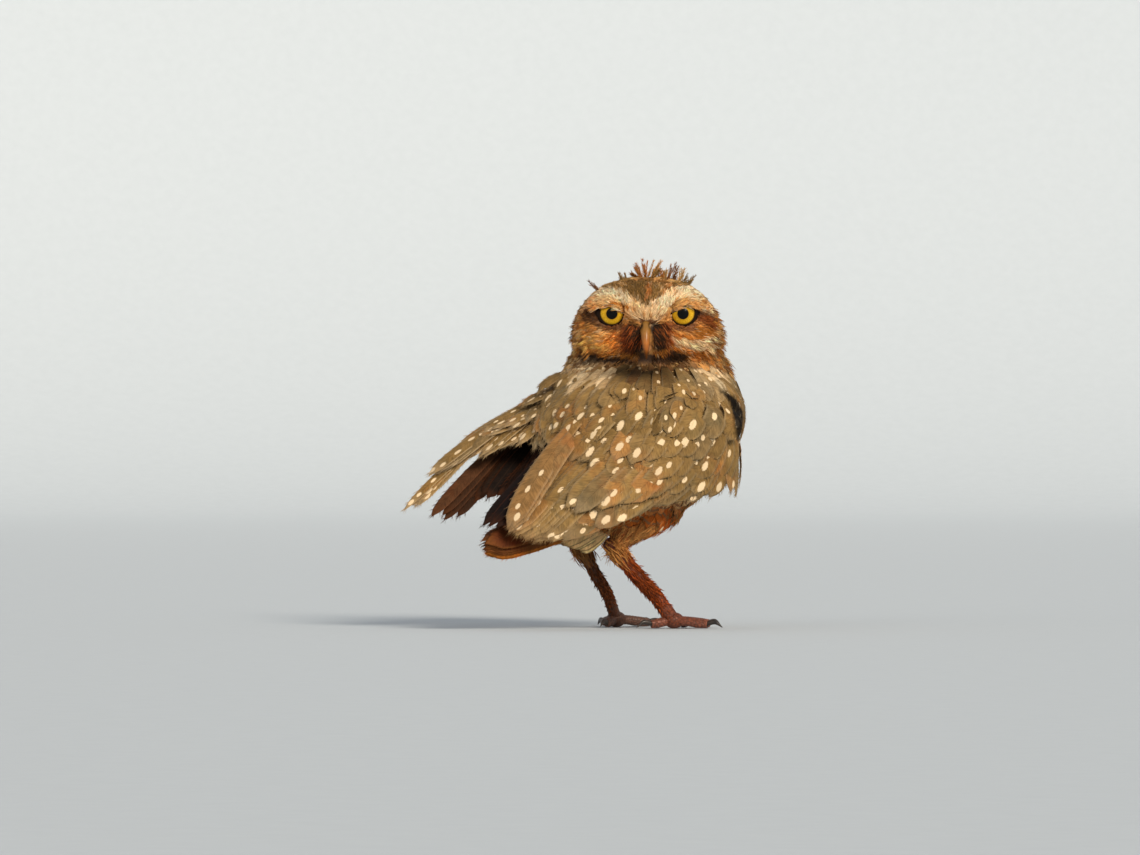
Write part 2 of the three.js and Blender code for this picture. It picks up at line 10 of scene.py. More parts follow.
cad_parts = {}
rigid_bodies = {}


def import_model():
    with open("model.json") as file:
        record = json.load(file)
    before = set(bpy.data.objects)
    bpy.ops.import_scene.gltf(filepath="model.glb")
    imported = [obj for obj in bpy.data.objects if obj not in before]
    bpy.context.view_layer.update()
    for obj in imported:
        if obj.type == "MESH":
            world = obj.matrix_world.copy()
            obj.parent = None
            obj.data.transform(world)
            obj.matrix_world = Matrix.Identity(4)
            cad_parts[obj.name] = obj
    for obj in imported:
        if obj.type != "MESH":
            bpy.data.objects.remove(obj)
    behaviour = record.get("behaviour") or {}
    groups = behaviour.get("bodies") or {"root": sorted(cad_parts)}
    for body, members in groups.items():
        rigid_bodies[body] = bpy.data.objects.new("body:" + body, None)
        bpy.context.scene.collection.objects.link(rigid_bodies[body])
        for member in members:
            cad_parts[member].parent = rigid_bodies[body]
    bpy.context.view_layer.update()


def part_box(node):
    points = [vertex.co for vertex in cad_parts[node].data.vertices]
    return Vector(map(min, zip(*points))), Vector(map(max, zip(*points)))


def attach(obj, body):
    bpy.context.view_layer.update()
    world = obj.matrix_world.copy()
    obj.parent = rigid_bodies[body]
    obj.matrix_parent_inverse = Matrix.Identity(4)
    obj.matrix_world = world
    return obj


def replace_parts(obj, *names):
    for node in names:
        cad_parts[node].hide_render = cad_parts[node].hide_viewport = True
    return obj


# A burrowing owl standing on both feet, its head turned right round to look back over its right
# shoulder, its left wing hanging loose. Shapes are worked out in millimetres, facing -Y, with the
# bird's left at +X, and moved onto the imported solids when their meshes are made.
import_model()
random = np.random.default_rng(7)

UP = np.array([0.0, 0.0, 1.0])
OUT = np.array([-math.sqrt(0.5), math.sqrt(0.5), 0.0])  # the way the face looks
ACROSS = np.array([-math.sqrt(0.5), -math.sqrt(0.5), 0.0])  # right, as one looks at the face
HEAD = np.array([0.0, -4.8, 147.0])
EYE_APART, EYE_HEIGHT, EYE_DEPTH, EYE_RADIUS = 17.0, 4.0, 14.5, 8.0
IRIS_RADIUS, PUPIL_RADIUS = 5.85, 2.75
LID_TOP, LID_SLANT = 2.7, math.radians(30)
PUPIL_DROP = 0.35
COAT = 1.8  # depth of the small feathers over the skin

TRUNK_SECTIONS = [
    [46, 16, 10, 12],
    [49.5, 15.5, 20, 22],
    [55, 16, 28, 32],
    [63, 13, 36.5, 42],
    [73, 7.5, 42, 47],
    [83, 1, 44, 46],
    [93, -4, 44, 43.5],
    [103, -7.5, 43.5, 41.5],
    [112, -9, 41.5, 39],
    [118, -9, 37, 34.5],
    [121, -8.5, 30, 28],
]
NECK_SECTIONS = [
    [-37, -2, 44.5, 42.5],
    [-32, -2.5, 44.2, 39.5],
    [-27, -5, 42.5, 34],
    [-20, -7, 39.5, 28.5],
    [-16, -6.5, 38, 27.5],
    [-13.5, -5, 35, 26],
]
HEAD_SECTIONS = [
    [-25, 0, 10, 9],
    [-22.5, 0.5, 21, 18],
    [-17, 0.5, 31.5, 26],
    [-10, 0, 36, 29.5],
    [-2, -0.5, 35.8, 30.5],
    [6, -1, 33.4, 30],
    [13, -2, 28, 26.5],
    [18.5, -3, 21, 21],
    [22, -3.5, 10, 11],
]

# Colours, as light they give back
MANTLE = np.array([0.265, 0.155, 0.050])
OLIVE = np.array([0.22, 0.15, 0.07])
RUFOUS = np.array([0.42, 0.17, 0.045])
BUFF = np.array([0.60, 0.36, 0.14])
CREAM = np.array([0.82, 0.62, 0.38])
WHITE = np.array([0.88, 0.74, 0.54])
ORANGE = np.array([0.60, 0.24, 0.045])
RED_BROWN = np.array([0.30, 0.08, 0.018])
BROWN = np.array([0.14, 0.062, 0.024])
DARK = np.array([0.035, 0.017, 0.008])
CHOCOLATE = np.array([0.075, 0.03, 0.012])
DEEP_RUFOUS = np.array([0.42, 0.10, 0.010])

# The shank's middle line: outward, forward and up
TARSUS_LINE = [[10.6, -32, 42], [14, -15, 24.5], [15.8, -7, 17], [18.6, 1.6, 6]]


# Small sums
def unit(v):
    return v / np.maximum(np.linalg.norm(v, axis=-1, keepdims=True), 1e-9)


def beside(v, along):
    """The way of v's part that stands square to a direction."""
    return unit(v - along * np.sum(v * along, -1, keepdims=True))


def blend(a, b, share):
    """From a to b, by a share for each point."""
    share = share[:, None] if np.ndim(share) == 1 else share
    return a * (1 - share) + b * share


def smooth(x, low, high):
    t = np.clip((x - low) / (high - low), 0, 1)
    return t * t * (3 - 2 * t)


def at(side, outward, forward, up):
    return np.array([side * outward, -forward, up], float)


def on_head(u, v, w):
    u, v, w = (np.asarray(x, float)[..., None] for x in (u, v, w))
    return HEAD + u * ACROSS + v * UP + w * OUT


def head_place(p):
    d = p - HEAD
    return d @ ACROSS, d @ UP, d @ OUT


def curve(points, shares):
    """A smooth line through points, at shares of its number of spans."""
    points = np.asarray(points, float)
    last = len(points) - 1
    padded = np.vstack([2 * points[0] - points[1], points, 2 * points[-1] - points[-2]])
    place = np.clip(np.asarray(shares, float), 0, 1) * last
    i = np.minimum(place.astype(int), last - 1)
    w = (place - i)[:, None]
    p0, p1, p2, p3 = (padded[i + k] for k in range(4))
    d0, d1, d2 = (np.sqrt(np.linalg.norm(b - a, axis=1))[:, None] for a, b in ((p0, p1), (p1, p2), (p2, p3)))
    d1 = np.where(d1 < 1e-4, 1, d1)
    d0 = np.where(d0 < 1e-4, d1, d0)
    d2 = np.where(d2 < 1e-4, d1, d2)
    m1 = ((p1 - p0) / d0 - (p2 - p0) / (d0 + d1) + (p2 - p1) / d1) * d1
    m2 = ((p2 - p1) / d1 - (p3 - p1) / (d1 + d2) + (p3 - p2) / d2) * d1
    return p1 + w * m1 + w**2 * (3 * (p2 - p1) - 2 * m1 - m2) + w**3 * (2 * (p1 - p2) + m1 + m2)


def table(rows, shares):
    rows = np.asarray(rows, float)
    return np.hstack([curve(rows[:, c : c + 1], shares) for c in range(rows.shape[1])])


def bent(root, middle, tip, stations):
    """Lines through three points each."""
    s = np.linspace(0, 1, stations)
    weights = np.stack([(1 - s) * (1 - 2 * s), 4 * s * (1 - s), s * (2 * s - 1)])
    return np.einsum("ks,knc->nsc", weights, np.stack([root, middle, tip]))


def turn_about(v, axis, angle):
    c, s = np.cos(angle)[:, None], np.sin(angle)[:, None]
    return v * c + np.cross(axis, v) * s + axis * np.sum(v * axis, -1, keepdims=True) * (1 - c)


def jitter(tone, amount):
    return np.clip(tone * np.exp(amount * random.normal(size=(len(tone), 1))), 0.003, 0.95)


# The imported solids' place: their left eye's middle is this design's.
low, high = (np.array(corner) * 1000 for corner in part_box("eye_left"))
SHIFT = (low + high) / 2 - on_head(EYE_APART, EYE_HEIGHT, EYE_DEPTH)


def metres(p):
    return (np.asarray(p) + SHIFT) / 1000


# Meshes
class Batch:
    """Collects points, faces and the values that the materials read, then makes one object."""

    def __init__(self):
        self.points, self.quads, self.thirds, self.rims = [], [], [], []
        self.values = {}
        self.count = 0

    def add(self, points, quads, rim=None, thirds=None, **values):
        points = np.asarray(points, float).reshape(-1, 3)
        self.points.append(points)
        self.quads.append(np.asarray(quads, int).reshape(-1, 4) + self.count)
        self.rims.append(np.zeros(len(self.quads[-1]), bool) if rim is None else rim)
        if thirds is not None:
            self.thirds.append(np.asarray(thirds, int).reshape(-1, 3) + self.count)
        for name, value in values.items():
            value = np.broadcast_to(value, (len(points), value.shape[-1])) if value.ndim < 2 else value
            self.values.setdefault(name, []).append(value.reshape(len(points), -1))
        self.count += len(points)

    def make(self, name, material, slot):
        points = np.concatenate(self.points)
        quads = np.concatenate(self.quads)
        thirds = np.concatenate(self.thirds) if self.thirds else np.zeros((0, 3), int)
        mesh = bpy.data.meshes.new(name)
        mesh.vertices.add(len(points))
        mesh.vertices.foreach_set("co", metres(points).astype(np.float32).ravel())
        corners = np.concatenate([quads.ravel(), thirds.ravel()])
        mesh.loops.add(len(corners))
        mesh.loops.foreach_set("vertex_index", corners.astype(np.int32))
        starts = np.concatenate([4 * np.arange(len(quads)), 4 * len(quads) + 3 * np.arange(len(thirds))])
        mesh.polygons.add(len(starts))
        mesh.polygons.foreach_set("loop_start", starts.astype(np.int32))
        flat = np.concatenate([*self.rims, np.zeros(len(thirds), bool)])
        mesh.update(calc_edges=True)
        mesh.validate()
        mesh.polygons.foreach_set("use_smooth", ~flat[: len(mesh.polygons)])
        for key, parts in self.values.items():
            value = np.concatenate(parts).astype(np.float32)
            if key == "uv":
                layer = mesh.uv_layers.new(name="OFBake")
                layer.data.foreach_set("uv", value[corners].ravel())
            else:
                layer = mesh.attributes.new(key, "FLOAT_VECTOR", "POINT")
                layer.data.foreach_set("vector", value.ravel())
        thing = bpy.data.objects.new(name, mesh)
        bpy.context.scene.collection.objects.link(thing)
        mesh.materials.append(material)
        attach(thing, "root")
        return thing


def loft(rings, closed=True):
    """Points, quads and end triangles of a skin over rings of points, closed at both ends."""
    count, around = rings.shape[:2]
    k = np.arange(around)
    a = (np.arange(count - 1)[:, None] * around + k).ravel()
    b = (np.arange(count - 1)[:, None] * around + (k + 1) % around).ravel()
    quads = np.stack([a, b, b + around, a + around], 1)
    if not closed:
        return rings.reshape(-1, 3), quads, None
    points = np.vstack([rings.reshape(-1, 3), rings[0].mean(0), rings[-1].mean(0)])
    middles = np.full((2, around), [[count * around], [count * around + 1]])
    end = (count - 1) * around
    thirds = np.hstack([[(k + 1) % around, k, middles[0]], [end + k, end + (k + 1) % around, middles[1]]])
    return points, quads, thirds.T


def stack(sections, place, around=72, steps=48):
    turn = np.linspace(0, 2 * np.pi, around, endpoint=False)
    rows = table(sections, np.linspace(0, 1, steps + 1))
    up, middle, wide, deep = (rows[:, k : k + 1] for k in range(4))
    return loft(place(wide * np.cos(turn), middle + deep * np.sin(turn), up + 0 * turn))


def tube(points, sizes, wide=(1, 0, 0), sides=24, steps=24, shape=None):
    shares = np.linspace(0, 1, steps + 1)
    middle = curve(points, shares)
    along = unit(np.gradient(middle, axis=0))
    wide = np.asarray(wide, float)
    across = unit(wide - along * (along @ wide)[:, None])
    other = np.cross(along, across)
    half = table(sizes, shares)
    turn = np.linspace(0, 2 * np.pi, sides, endpoint=False)
    grow = np.ones_like(turn) if shape is None else shape(turn)
    rings = (
        middle[:, None]
        + across[:, None] * (half[:, :1] * grow * np.cos(turn))[..., None]
        + other[:, None] * (half[:, 1:2] * grow * np.sin(turn))[..., None]
    )
    return loft(rings)


def ball(middle, radii, turn_x=0.0, around=32, down=20):
    tilt = np.linspace(0.04, np.pi - 0.04, down)[:, None]
    turn = np.linspace(0, 2 * np.pi, around, endpoint=False)
    p = np.stack([np.sin(tilt) * np.cos(turn), np.sin(tilt) * np.sin(turn), np.cos(tilt) + 0 * turn], -1)
    p = p * np.asarray(radii, float)
    c, s = math.cos(turn_x), math.sin(turn_x)
    p = np.stack([p[..., 0], c * p[..., 1] - s * p[..., 2], s * p[..., 1] + c * p[..., 2]], -1)
    return loft(p + middle)


# Skin: trunk, neck, head, thighs and wing arms in one
def from_line(u, v, a, b):
    du, dv = b[0] - a[0], b[1] - a[1]
    share = np.clip(((u - a[0]) * du + (v - a[1]) * dv) / (du**2 + dv**2), 0, 1)
    return np.hypot(u - a[0] - share * du, v - a[1] - share * dv)


def from_eye(u, v):
    """How far a place on the face's grid is from the nearer eye's middle."""
    return np.hypot(np.abs(u) - EYE_APART, v - EYE_HEIGHT)


def face_relief(across, up, out):
    u = np.abs(across)
    hollow = -4 * np.exp(-(((u - EYE_APART) / 8.5) ** 2) - ((up - EYE_HEIGHT + 1) / 7) ** 2)
    brow = 3 * np.exp(-((from_line(u, up, (29, 11), (4, 1.5)) / 3.5) ** 2))
    root = 2.5 * np.exp(-((u / 5) ** 2) - ((up + 4) / 7) ** 2)
    return smooth(out, 4, 16) * (-0.35 * np.maximum(0, out - 21) + hollow + brow + root)


def neck_surface(across, out, up):
    return on_head(across, up, out)


def head_surface(across, out, up):
    return on_head(across, up, out + face_relief(across, up, out))


def trunk_surface(across, back, up):
    return np.stack([across, back, up], -1)


def thigh(side):
    line = [[19, -1, 64], [19, -14, 56], [13.5, -24, 46.5], [11.5, -29.5, 39.5]]
    return tube([at(side, *p) for p in line], [[14, 13], [12.5, 12], [8, 8.5], [4.8, 4.6]])


FLESH = [
    stack(TRUNK_SECTIONS, trunk_surface),
    stack(NECK_SECTIONS, neck_surface),
    stack(HEAD_SECTIONS, head_surface, around=120, steps=80),
    thigh(1),
    thigh(-1),
    ball(at(-1, 39, -3, 91), [11, 31, 24], 0.2),
    ball(at(-1, 20, -19, 101), [17, 19, 12]),
    ball(at(1, 38, -2, 101), [12, 32, 16], -0.1),
    tube([at(1, 44, -8, 104), at(1, 50, -26, 101), at(1, 54, -40, 94)], [[8, 7], [6, 5.5], [3, 2.5]]),
    ball(at(1, 27, -19, 105), [17, 19, 9.5]),
    ball(at(1, 0, -50, 56), [13, 14, 8], 0.2),
]


def make_skin():
    flesh = Batch()
    for points, quads, thirds in FLESH:
        flesh.add(points, quads, thirds=thirds)
    points = np.concatenate(flesh.points)
    faces = [list(map(int, f)) for f in np.concatenate(flesh.quads)]
    faces += [list(map(int, f)) for f in np.concatenate(flesh.thirds)]
    mesh = bpy.data.meshes.new("skin")
    mesh.from_pydata((points / 1000).tolist(), [], faces)
    thing = bpy.data.objects.new("skin", mesh)
    bpy.context.scene.collection.objects.link(thing)
    whole = thing.modifiers.new("whole", "REMESH")
    whole.mode = "VOXEL"
    whole.voxel_size = 0.0013
    mesh = bpy.data.meshes.new_from_object(thing.evaluated_get(bpy.context.evaluated_depsgraph_get()))
    thing.modifiers.clear()
    thing.data = mesh
    p = read_points(mesh) * 1000
    edges = read_numbers(mesh.edges, "vertices", 2, np.int32)
    count = np.bincount(edges.ravel(), minlength=len(p))[:, None]
    for _ in range(8):
        total = np.zeros_like(p)
        np.add.at(total, edges[:, 0], p[edges[:, 1]])
        np.add.at(total, edges[:, 1], p[edges[:, 0]])
        u, v, w = head_place(p)
        keep = 0.3 + 0.7 * (1 - (smooth(v, -14, -8) * smooth(w, 2, 10)))[:, None]
        p = p + 0.6 * keep * (total / count - p)
    write_points(mesh, p / 1000)
    normals = read_normals(mesh)
    u, v, w = head_place(p)
    face = smooth(v, -20, -12) * smooth(w, 4, 14)
    rim = face * np.exp(-(((v + 11) / 6) ** 2)) * smooth(np.abs(u), 24, 34) * np.where(u > 0, 1.6, 0.5)
    p = p - normals * (COAT - 0.7 * face - rim)[:, None]
    # Behind each eyeball the skin makes room for it.
    u, v, w = head_place(p)
    reach = from_eye(u, v)
    depth = EYE_DEPTH + np.sqrt(np.maximum(0, EYE_RADIUS**2 - reach**2)) - 1.6
    sunk = (reach < 6.6) & (w > 8) & (w > depth)
    p[sunk] += (depth - w)[sunk][:, None] * OUT
    write_points(mesh, p / 1000)
    for polygon in mesh.polygons:
        polygon.use_smooth = True
    return thing


def read_numbers(things, name, width, kind):
    values = np.zeros(width * len(things), kind)
    things.foreach_get(name, values)
    return values.reshape(-1, width)


def read_points(mesh):
    return read_numbers(mesh.vertices, "co", 3, np.float32).astype(float)


def write_points(mesh, p):
    mesh.vertices.foreach_set("co", p.astype(np.float32).ravel())
    mesh.update()


def read_normals(mesh):
    return read_numbers(mesh.vertex_normals, "vector", 3, np.float32).astype(float)


# Markings, and some painted shade. Each stroke of the face's colours and painted shade is a line on the face
# (across, up) with a half width.
FACE_STROKES = [
    # cheeks and ear patches
    (((-35, -5), (-25, -12.5), (-11, -13.5)), 7, ORANGE * 0.95 + 0.1 * BUFF),
    (((34, -4), (25, -11), (13, -12.5)), 7, ORANGE * 0.75 + 0.35 * BUFF),
    # beside the left eye: dark feathers, deepened with painted shade
    (((-29, 4), (-25, 2)), 3.5, BROWN * 0.9),
    (((-34, 8), (-34.5, -3)), 3.2, ORANGE * 0.5 + 0.6 * BUFF),
    # below the left eye: dark feathers, deepened with painted shade
    (((-23, -2.5), (-13, -3)), 2, BROWN),
    (((-23, -5), (-18, -8)), 1.8, BUFF * 1.1),
    (((-31, -9.5), (-19, -11)), 3.9, np.array([0.90, 0.46, 0.13])),
    (((-19, -9), (-13, -12.5)), 2.4, ORANGE * 1.1),
    (((-12, -6), (-10.5, -11)), 1.1, BUFF * 0.9),
    # beside and below the right eye, the next three strokes: dark feathers, deepened with painted shade
    (((24, 5), (32.5, 1), (34, -4)), 5, np.array([0.27, 0.08, 0.02])),
    (((23.5, 5), (28, 4)), 2, BROWN),
    (((11, -2.5), (23, -3)), 2, BROWN * 1.5 + 0.2 * RED_BROWN),
    (((24, -4.5), (33, -5.5)), 1.8, ORANGE * 0.8),
    (((11, -10), (23, -10.5), (34, -10)), 3.2, CREAM),
    (((15, -7.5), (26, -7.5)), 1.2, ORANGE),
    (((18, -16), (28, -16)), 2.6, ORANGE * 0.9),
    (((-34, -14.5), (-28, -17.5), (-20, -18)), 1.8, BROWN * 0.8),
    (((28, -19.5), (34, -18.5)), 2, BUFF),
    (((35, -7), (38, -18)), 2.6, BROWN * 1.6),
    # beside the bill
    (((-13.5, -6), (-12.5, -14)), 1.6, RUFOUS * 0.7),
    (((-10, -6), (-8.2, -15)), 3.2, RED_BROWN * 0.5),
    (((8.5, -4), (10, -15)), 3.4, RED_BROWN * 1.15),
    (((-7, -4), (-4.5, -13)), 3, DARK),
    (((4.5, -3), (7, -10)), 3, DARK),
    (((4, -16), (11, -13.5)), 1.6, ORANGE * 0.8),
    # chin
    (((-36, -16), (-28.5, -19), (-19, -20.8), (-3.5, -20.8), (7.5, -19.6), (16, -17.5)), 3.2, DARK * 1.4),
    # the chin band's lower edge, deepened with painted shadow under the chin
    (((-20, -23.8), (-4, -24.2), (9, -22.8)), 2.4, DARK * 1.2),
    (((-3.5, -17), (7.5, -18.5)), 1.8, DARK * 2),
    (((-16, -16), (-6, -17.2)), 1.5, ORANGE * 0.6),
    (((-24, -17), (-18, -18)), 1, ORANGE * 0.8),
    (((18, -21), (29, -24)), 2, DARK * 2.5),
    (((-14, -21.5), (-10, -22.5)), 0.9, BROWN * 2),
    (((5, -21), (9, -21.5)), 0.9, BROWN * 2),
    # crown
    (((-30, 10.5), (-22.5, 17.5), (-7, 19), (-4.5, 9)), 4, MANTLE * 0.9),
    (((-16, 22), (0, 22), (16, 21), (26, 16)), 6.5, MANTLE * 0.9),
    (((-6, 19), (-1, 8)), 4, MANTLE * 0.8),
    (((-10.5, 19), (-9, 14)), 2.6, MANTLE * 0.9),
    (((1.5, 20), (3.5, 13)), 3, MANTLE * 0.95),
    (((0.5, 18), (-0.6, 11)), 1, RUFOUS),
    (((4.5, 19), (5.5, 14.5)), 0.9, BUFF * 0.9),
    (((-13.5, 18.2), (-11, 17)), 1, BUFF),
    (((-20.5, 16.4), (-17, 17)), 1, BUFF),
    (((-8, 21), (-5, 20)), 1, BUFF),
    (((8.5, 20), (11, 18)), 1.2, BUFF),
    (((16, 19), (20, 17.5)), 1, BUFF),
    (((-25, 14), (-22, 14.5)), 1, ORANGE),
    # brows
    (((-33.5, 7), (-25, 11), (-15.5, 11.5), (-8, 8), (-2, 3)), 3.9, BUFF * 0.4 + CREAM * 0.7),
    (((-27.5, 12.8), (-18, 14), (-9.5, 9.8)), 2.1, WHITE),
    (((-25, 7.6), (-11, 6.2)), 1.8, BUFF * 1.2),
    (((-16, 8), (-9.5, 5.5)), 0.7, ORANGE * 0.8),
    (((1.5, 2.6), (7.5, 8), (16, 12), (25.5, 12), (30, 8)), 4.4, CREAM),
    (((7.5, 9), (16, 14), (24, 14)), 3.2, WHITE),
    (((5, 9), (13.5, 13.6), (19.5, 15.5)), 2.2, WHITE),
    (((11, 6), (18, 8.2), (29, 8.6)), 1.8, BUFF * 1.2),
    (((-1, 3), (2.6, 2)), 1.9, BUFF * 0.5 + CREAM * 0.6),
    (((-3, 0.2), (4, -0.6)), 1, BROWN),
]


def from_path(u, v, path):
    return np.min([from_line(u, v, a, b) for a, b in zip(path, path[1:])], axis=0)


def wave(p, size, seed):
    """Smooth blotches from -1 to 1, about a given size across."""
    turns = np.random.default_rng(seed).normal(size=(6, 3)) * 2.2 / size
    phases = np.random.default_rng(seed + 1).uniform(0, 6.28, 6)
    return np.sin(p @ turns.T + phases).mean(-1) * 1.6


def zones(p, normal):
    """How far each point belongs to the face, the head, the neck, the underparts and the thighs."""
    u, v, w = head_place(p)
    head = smooth(v, -23, -19) * (np.hypot(u, w) < 44)
    face = head * smooth(w, 3, 11)
    neck = (1 - head) * smooth(v, -38, -30) * (np.hypot(u, w) < 60)
    forward = smooth(-normal[:, 1] - 0.25 * np.abs(normal[:, 0]), 0.0, 0.5)
    under = (1 - head) * np.maximum(forward, smooth(-normal[:, 2], 0.3, 0.6) * (p[:, 2] < 85))
    under *= np.abs(p[:, 0]) < 43
    thigh_part = (p[:, 2] < 56) * (p[:, 1] < 40) * (np.abs(p[:, 0]) > 3)
    return face, head, neck, under, thigh_part.astype(float)


def mantle_tone(p):
    """Olive brown with warmer and greyer patches."""
    tone = MANTLE + 0.12 * wave(p, 14, 3)[:, None] * MANTLE
    tone = blend(tone, RUFOUS, 0.5 * smooth(wave(p, 7, 9), 0.35, 0.9))
    return blend(tone, OLIVE, 0.6 * smooth(wave(p, 11, 21), 0.1, 0.8))


def markings_and_painted_shade(p, normal):
    """The plumage's colour at each point of the body, with painted shade under the chin and beside the eyes,
    without the marks on single feathers.
    """
    face, head, neck, under, thigh_part = zones(p, normal)
    u, v, w = head_place(p)
    facing = normal @ OUT
    # breast and belly, barred brown on buff white, plainer lower down
    low = smooth(-p[:, 2], -72, -58)[:, None]
    belly = BUFF * 0.75 + 0.25 * WHITE + 0.3 * (BUFF - WHITE) * low
    belly = blend(belly, MANTLE * 0.8, smooth(p[:, 2], 92, 104))
    tone = blend(mantle_tone(p), belly, under)
    flank = under * smooth(facing, -0.1, 0.3)
    tone = blend(tone, DEEP_RUFOUS, np.maximum(thigh_part, flank) * smooth(-p[:, 2], -66, -58))
    # the neck's pale sides, and its shaded hind edge under the chin
    side = np.where(u < 0, smooth(-u, 12, 19), 0.8 * smooth(u, 20, 28))
    pale = neck * side * smooth(v + 3 * (u < -14), -34, -28)
    light = blend(MANTLE, 0.25 * BUFF + 0.8 * CREAM, smooth(wave(p * [1, 1, 0.5], 3, 41), -0.7, 0.3))
    tone = blend(tone, light, 0.9 * pale)
    chin = neck * smooth(facing, -0.1, 0.4) * np.exp(-((u / 16) ** 2) - ((v + 27) / 2.6) ** 2)
    tone = blend(tone, DARK, 0.85 * chin)
    # head
    buff = smooth(wave(p, 3.4, 5), 0.45, 0.95)[:, None]
    tone = blend(tone, MANTLE * 0.9 + 0.7 * buff * (BUFF - MANTLE), head)
    tone = blend(tone, ORANGE * 0.55 + BUFF * 0.5, face * smooth(17 - v, 0, 5))
    bend_u = u + 1.1 * wave(p, 5, 31)
    bend_v = v + 1.1 * wave(p, 5, 33)
    for path, half, colour in FACE_STROKES:
        away = from_path(bend_u, bend_v, path)
        tone = blend(tone, colour, face * smooth(-away, -1.25 * half, -0.65 * half))
    patch = np.exp(-(((np.abs(u) - 30) / 8.5) ** 2) - ((v + 25.5) / 4.6) ** 2) * np.where(u < 0, 1, 0.6)
    patch *= smooth(w, -8, 2) * smooth(wave(p * [1, 1, 0.6], 3.2, 43), -0.6, 0.4)
    tone = blend(tone, np.array([0.92, 0.70, 0.42]), patch)
    return np.clip(tone * (1 + head[:, None] * [0.12, 0.02, -0.1]), 0.004, 0.95)


def flow(p, normal):
    """The way the small feathers lie."""
    face, head, _, under, thigh_part = zones(p, normal)
    u, v, _ = head_place(p)
    a = p @ ACROSS
    lean = smooth(-a, -5, 45)
    back = np.stack([0 * a, 0.12 + 0.85 * lean, -1 + 0.15 * lean], -1)
    way = blend(back, np.array([0, 0.25, -1]), under)
    down_leg = np.stack([-0.15 * np.sign(p[:, 0]), 0.6 + 0 * a, -0.8 + 0 * a], -1)
    way = blend(way, down_leg, thigh_part)
    left_arm = (p[:, 0] > 34) & (p[:, 2] > 86) & (p[:, 1] > -24)
    way = blend(way, np.array([0.22, 0.82, -0.5]), left_arm.astype(float))
    from_bill = unit(np.stack([u, v + 2], -1))
    eye = np.stack([np.abs(u) - EYE_APART, v - EYE_HEIGHT], -1)
    round_eye = 0.75 * np.exp(-((np.linalg.norm(eye, axis=-1) / 10) ** 2))
    eye = unit(eye) * np.stack([np.sign(u), np.ones_like(u)], -1)
    on_face = unit(blend(from_bill, eye, round_eye))
    on_face = on_face[:, :1] * ACROSS + on_face[:, 1:] * UP - 0.25 * OUT
    on_back = unit(-OUT * 0.8 - UP * 0.6) + 0 * p
    return beside(blend(way, blend(on_back, on_face, face), head), normal)


# The slit's middle on the face's grid, and its half width there
SLIT = [
    (34.4, -33.2, 0.5),
    (37.8, -35.0, 1.0),
    (40.6, -37.6, 1.6),
    (42.4, -40.6, 2.1),
    (43.2, -44.0, 2.4),
    (43.5, -47.5, 2.2),
    (43.4, -51.0, 1.7),
    (43.2, -54.5, 1.2),
    (43.2, -58.0, 0.6),
]


def gloom(p):
    """Shade in the slit at the edge of the breast and under the chin, from 0 to 1."""
    u, v, w = head_place(p)
    slit = np.zeros(len(p))
    for a, b in zip(SLIT, SLIT[1:]):
        for share in (0, 0.33, 0.67):
            x, y, r = ((1 - share) * a[k] + share * b[k] for k in range(3))
            slit = np.maximum(slit, smooth(1.15 * r - np.hypot(u - x, v - y), -0.6, 0.6))
    chin = np.exp(-(((u + 7) / 19) ** 2) - ((v + 24.2) / 4.0) ** 2) * smooth(w, 4, 12)
    return np.maximum(0.97 * slit * smooth(w, -3, 5), 0.9 * chin)[..., None]


# Feathers. A shape gives the half width, as a share of the widest, along the feather.
ROUND = np.array([[0, 0.4], [0.3, 0.82], [0.6, 1], [0.78, 0.99], [0.89, 0.88], [0.96, 0.66], [1, 0.3]])
LONG = np.array([[0, 0.5], [0.3, 0.9], [0.55, 1], [0.8, 0.94], [0.92, 0.76], [0.98, 0.46], [1, 0.2]])
NO_SPOT = (500, 0, 1)  # a place far beyond every feather's tip


def fill(full, *parts):
    """Values on a grid of points, each part spread over all of it."""
    return np.stack([np.broadcast_to(part, full) for part in parts], -1)


def each(full, value):
    """A value for every feather, or one for all, given to all points of each."""
    value = np.reshape(np.asarray(value, float), (-1, *[1] * (len(full) - 1), 3))
    return np.broadcast_to(value, (*full, 3))


def lit(full, points):
    return 1 - gloom(points.reshape(-1, 3)).reshape(*full, 1)


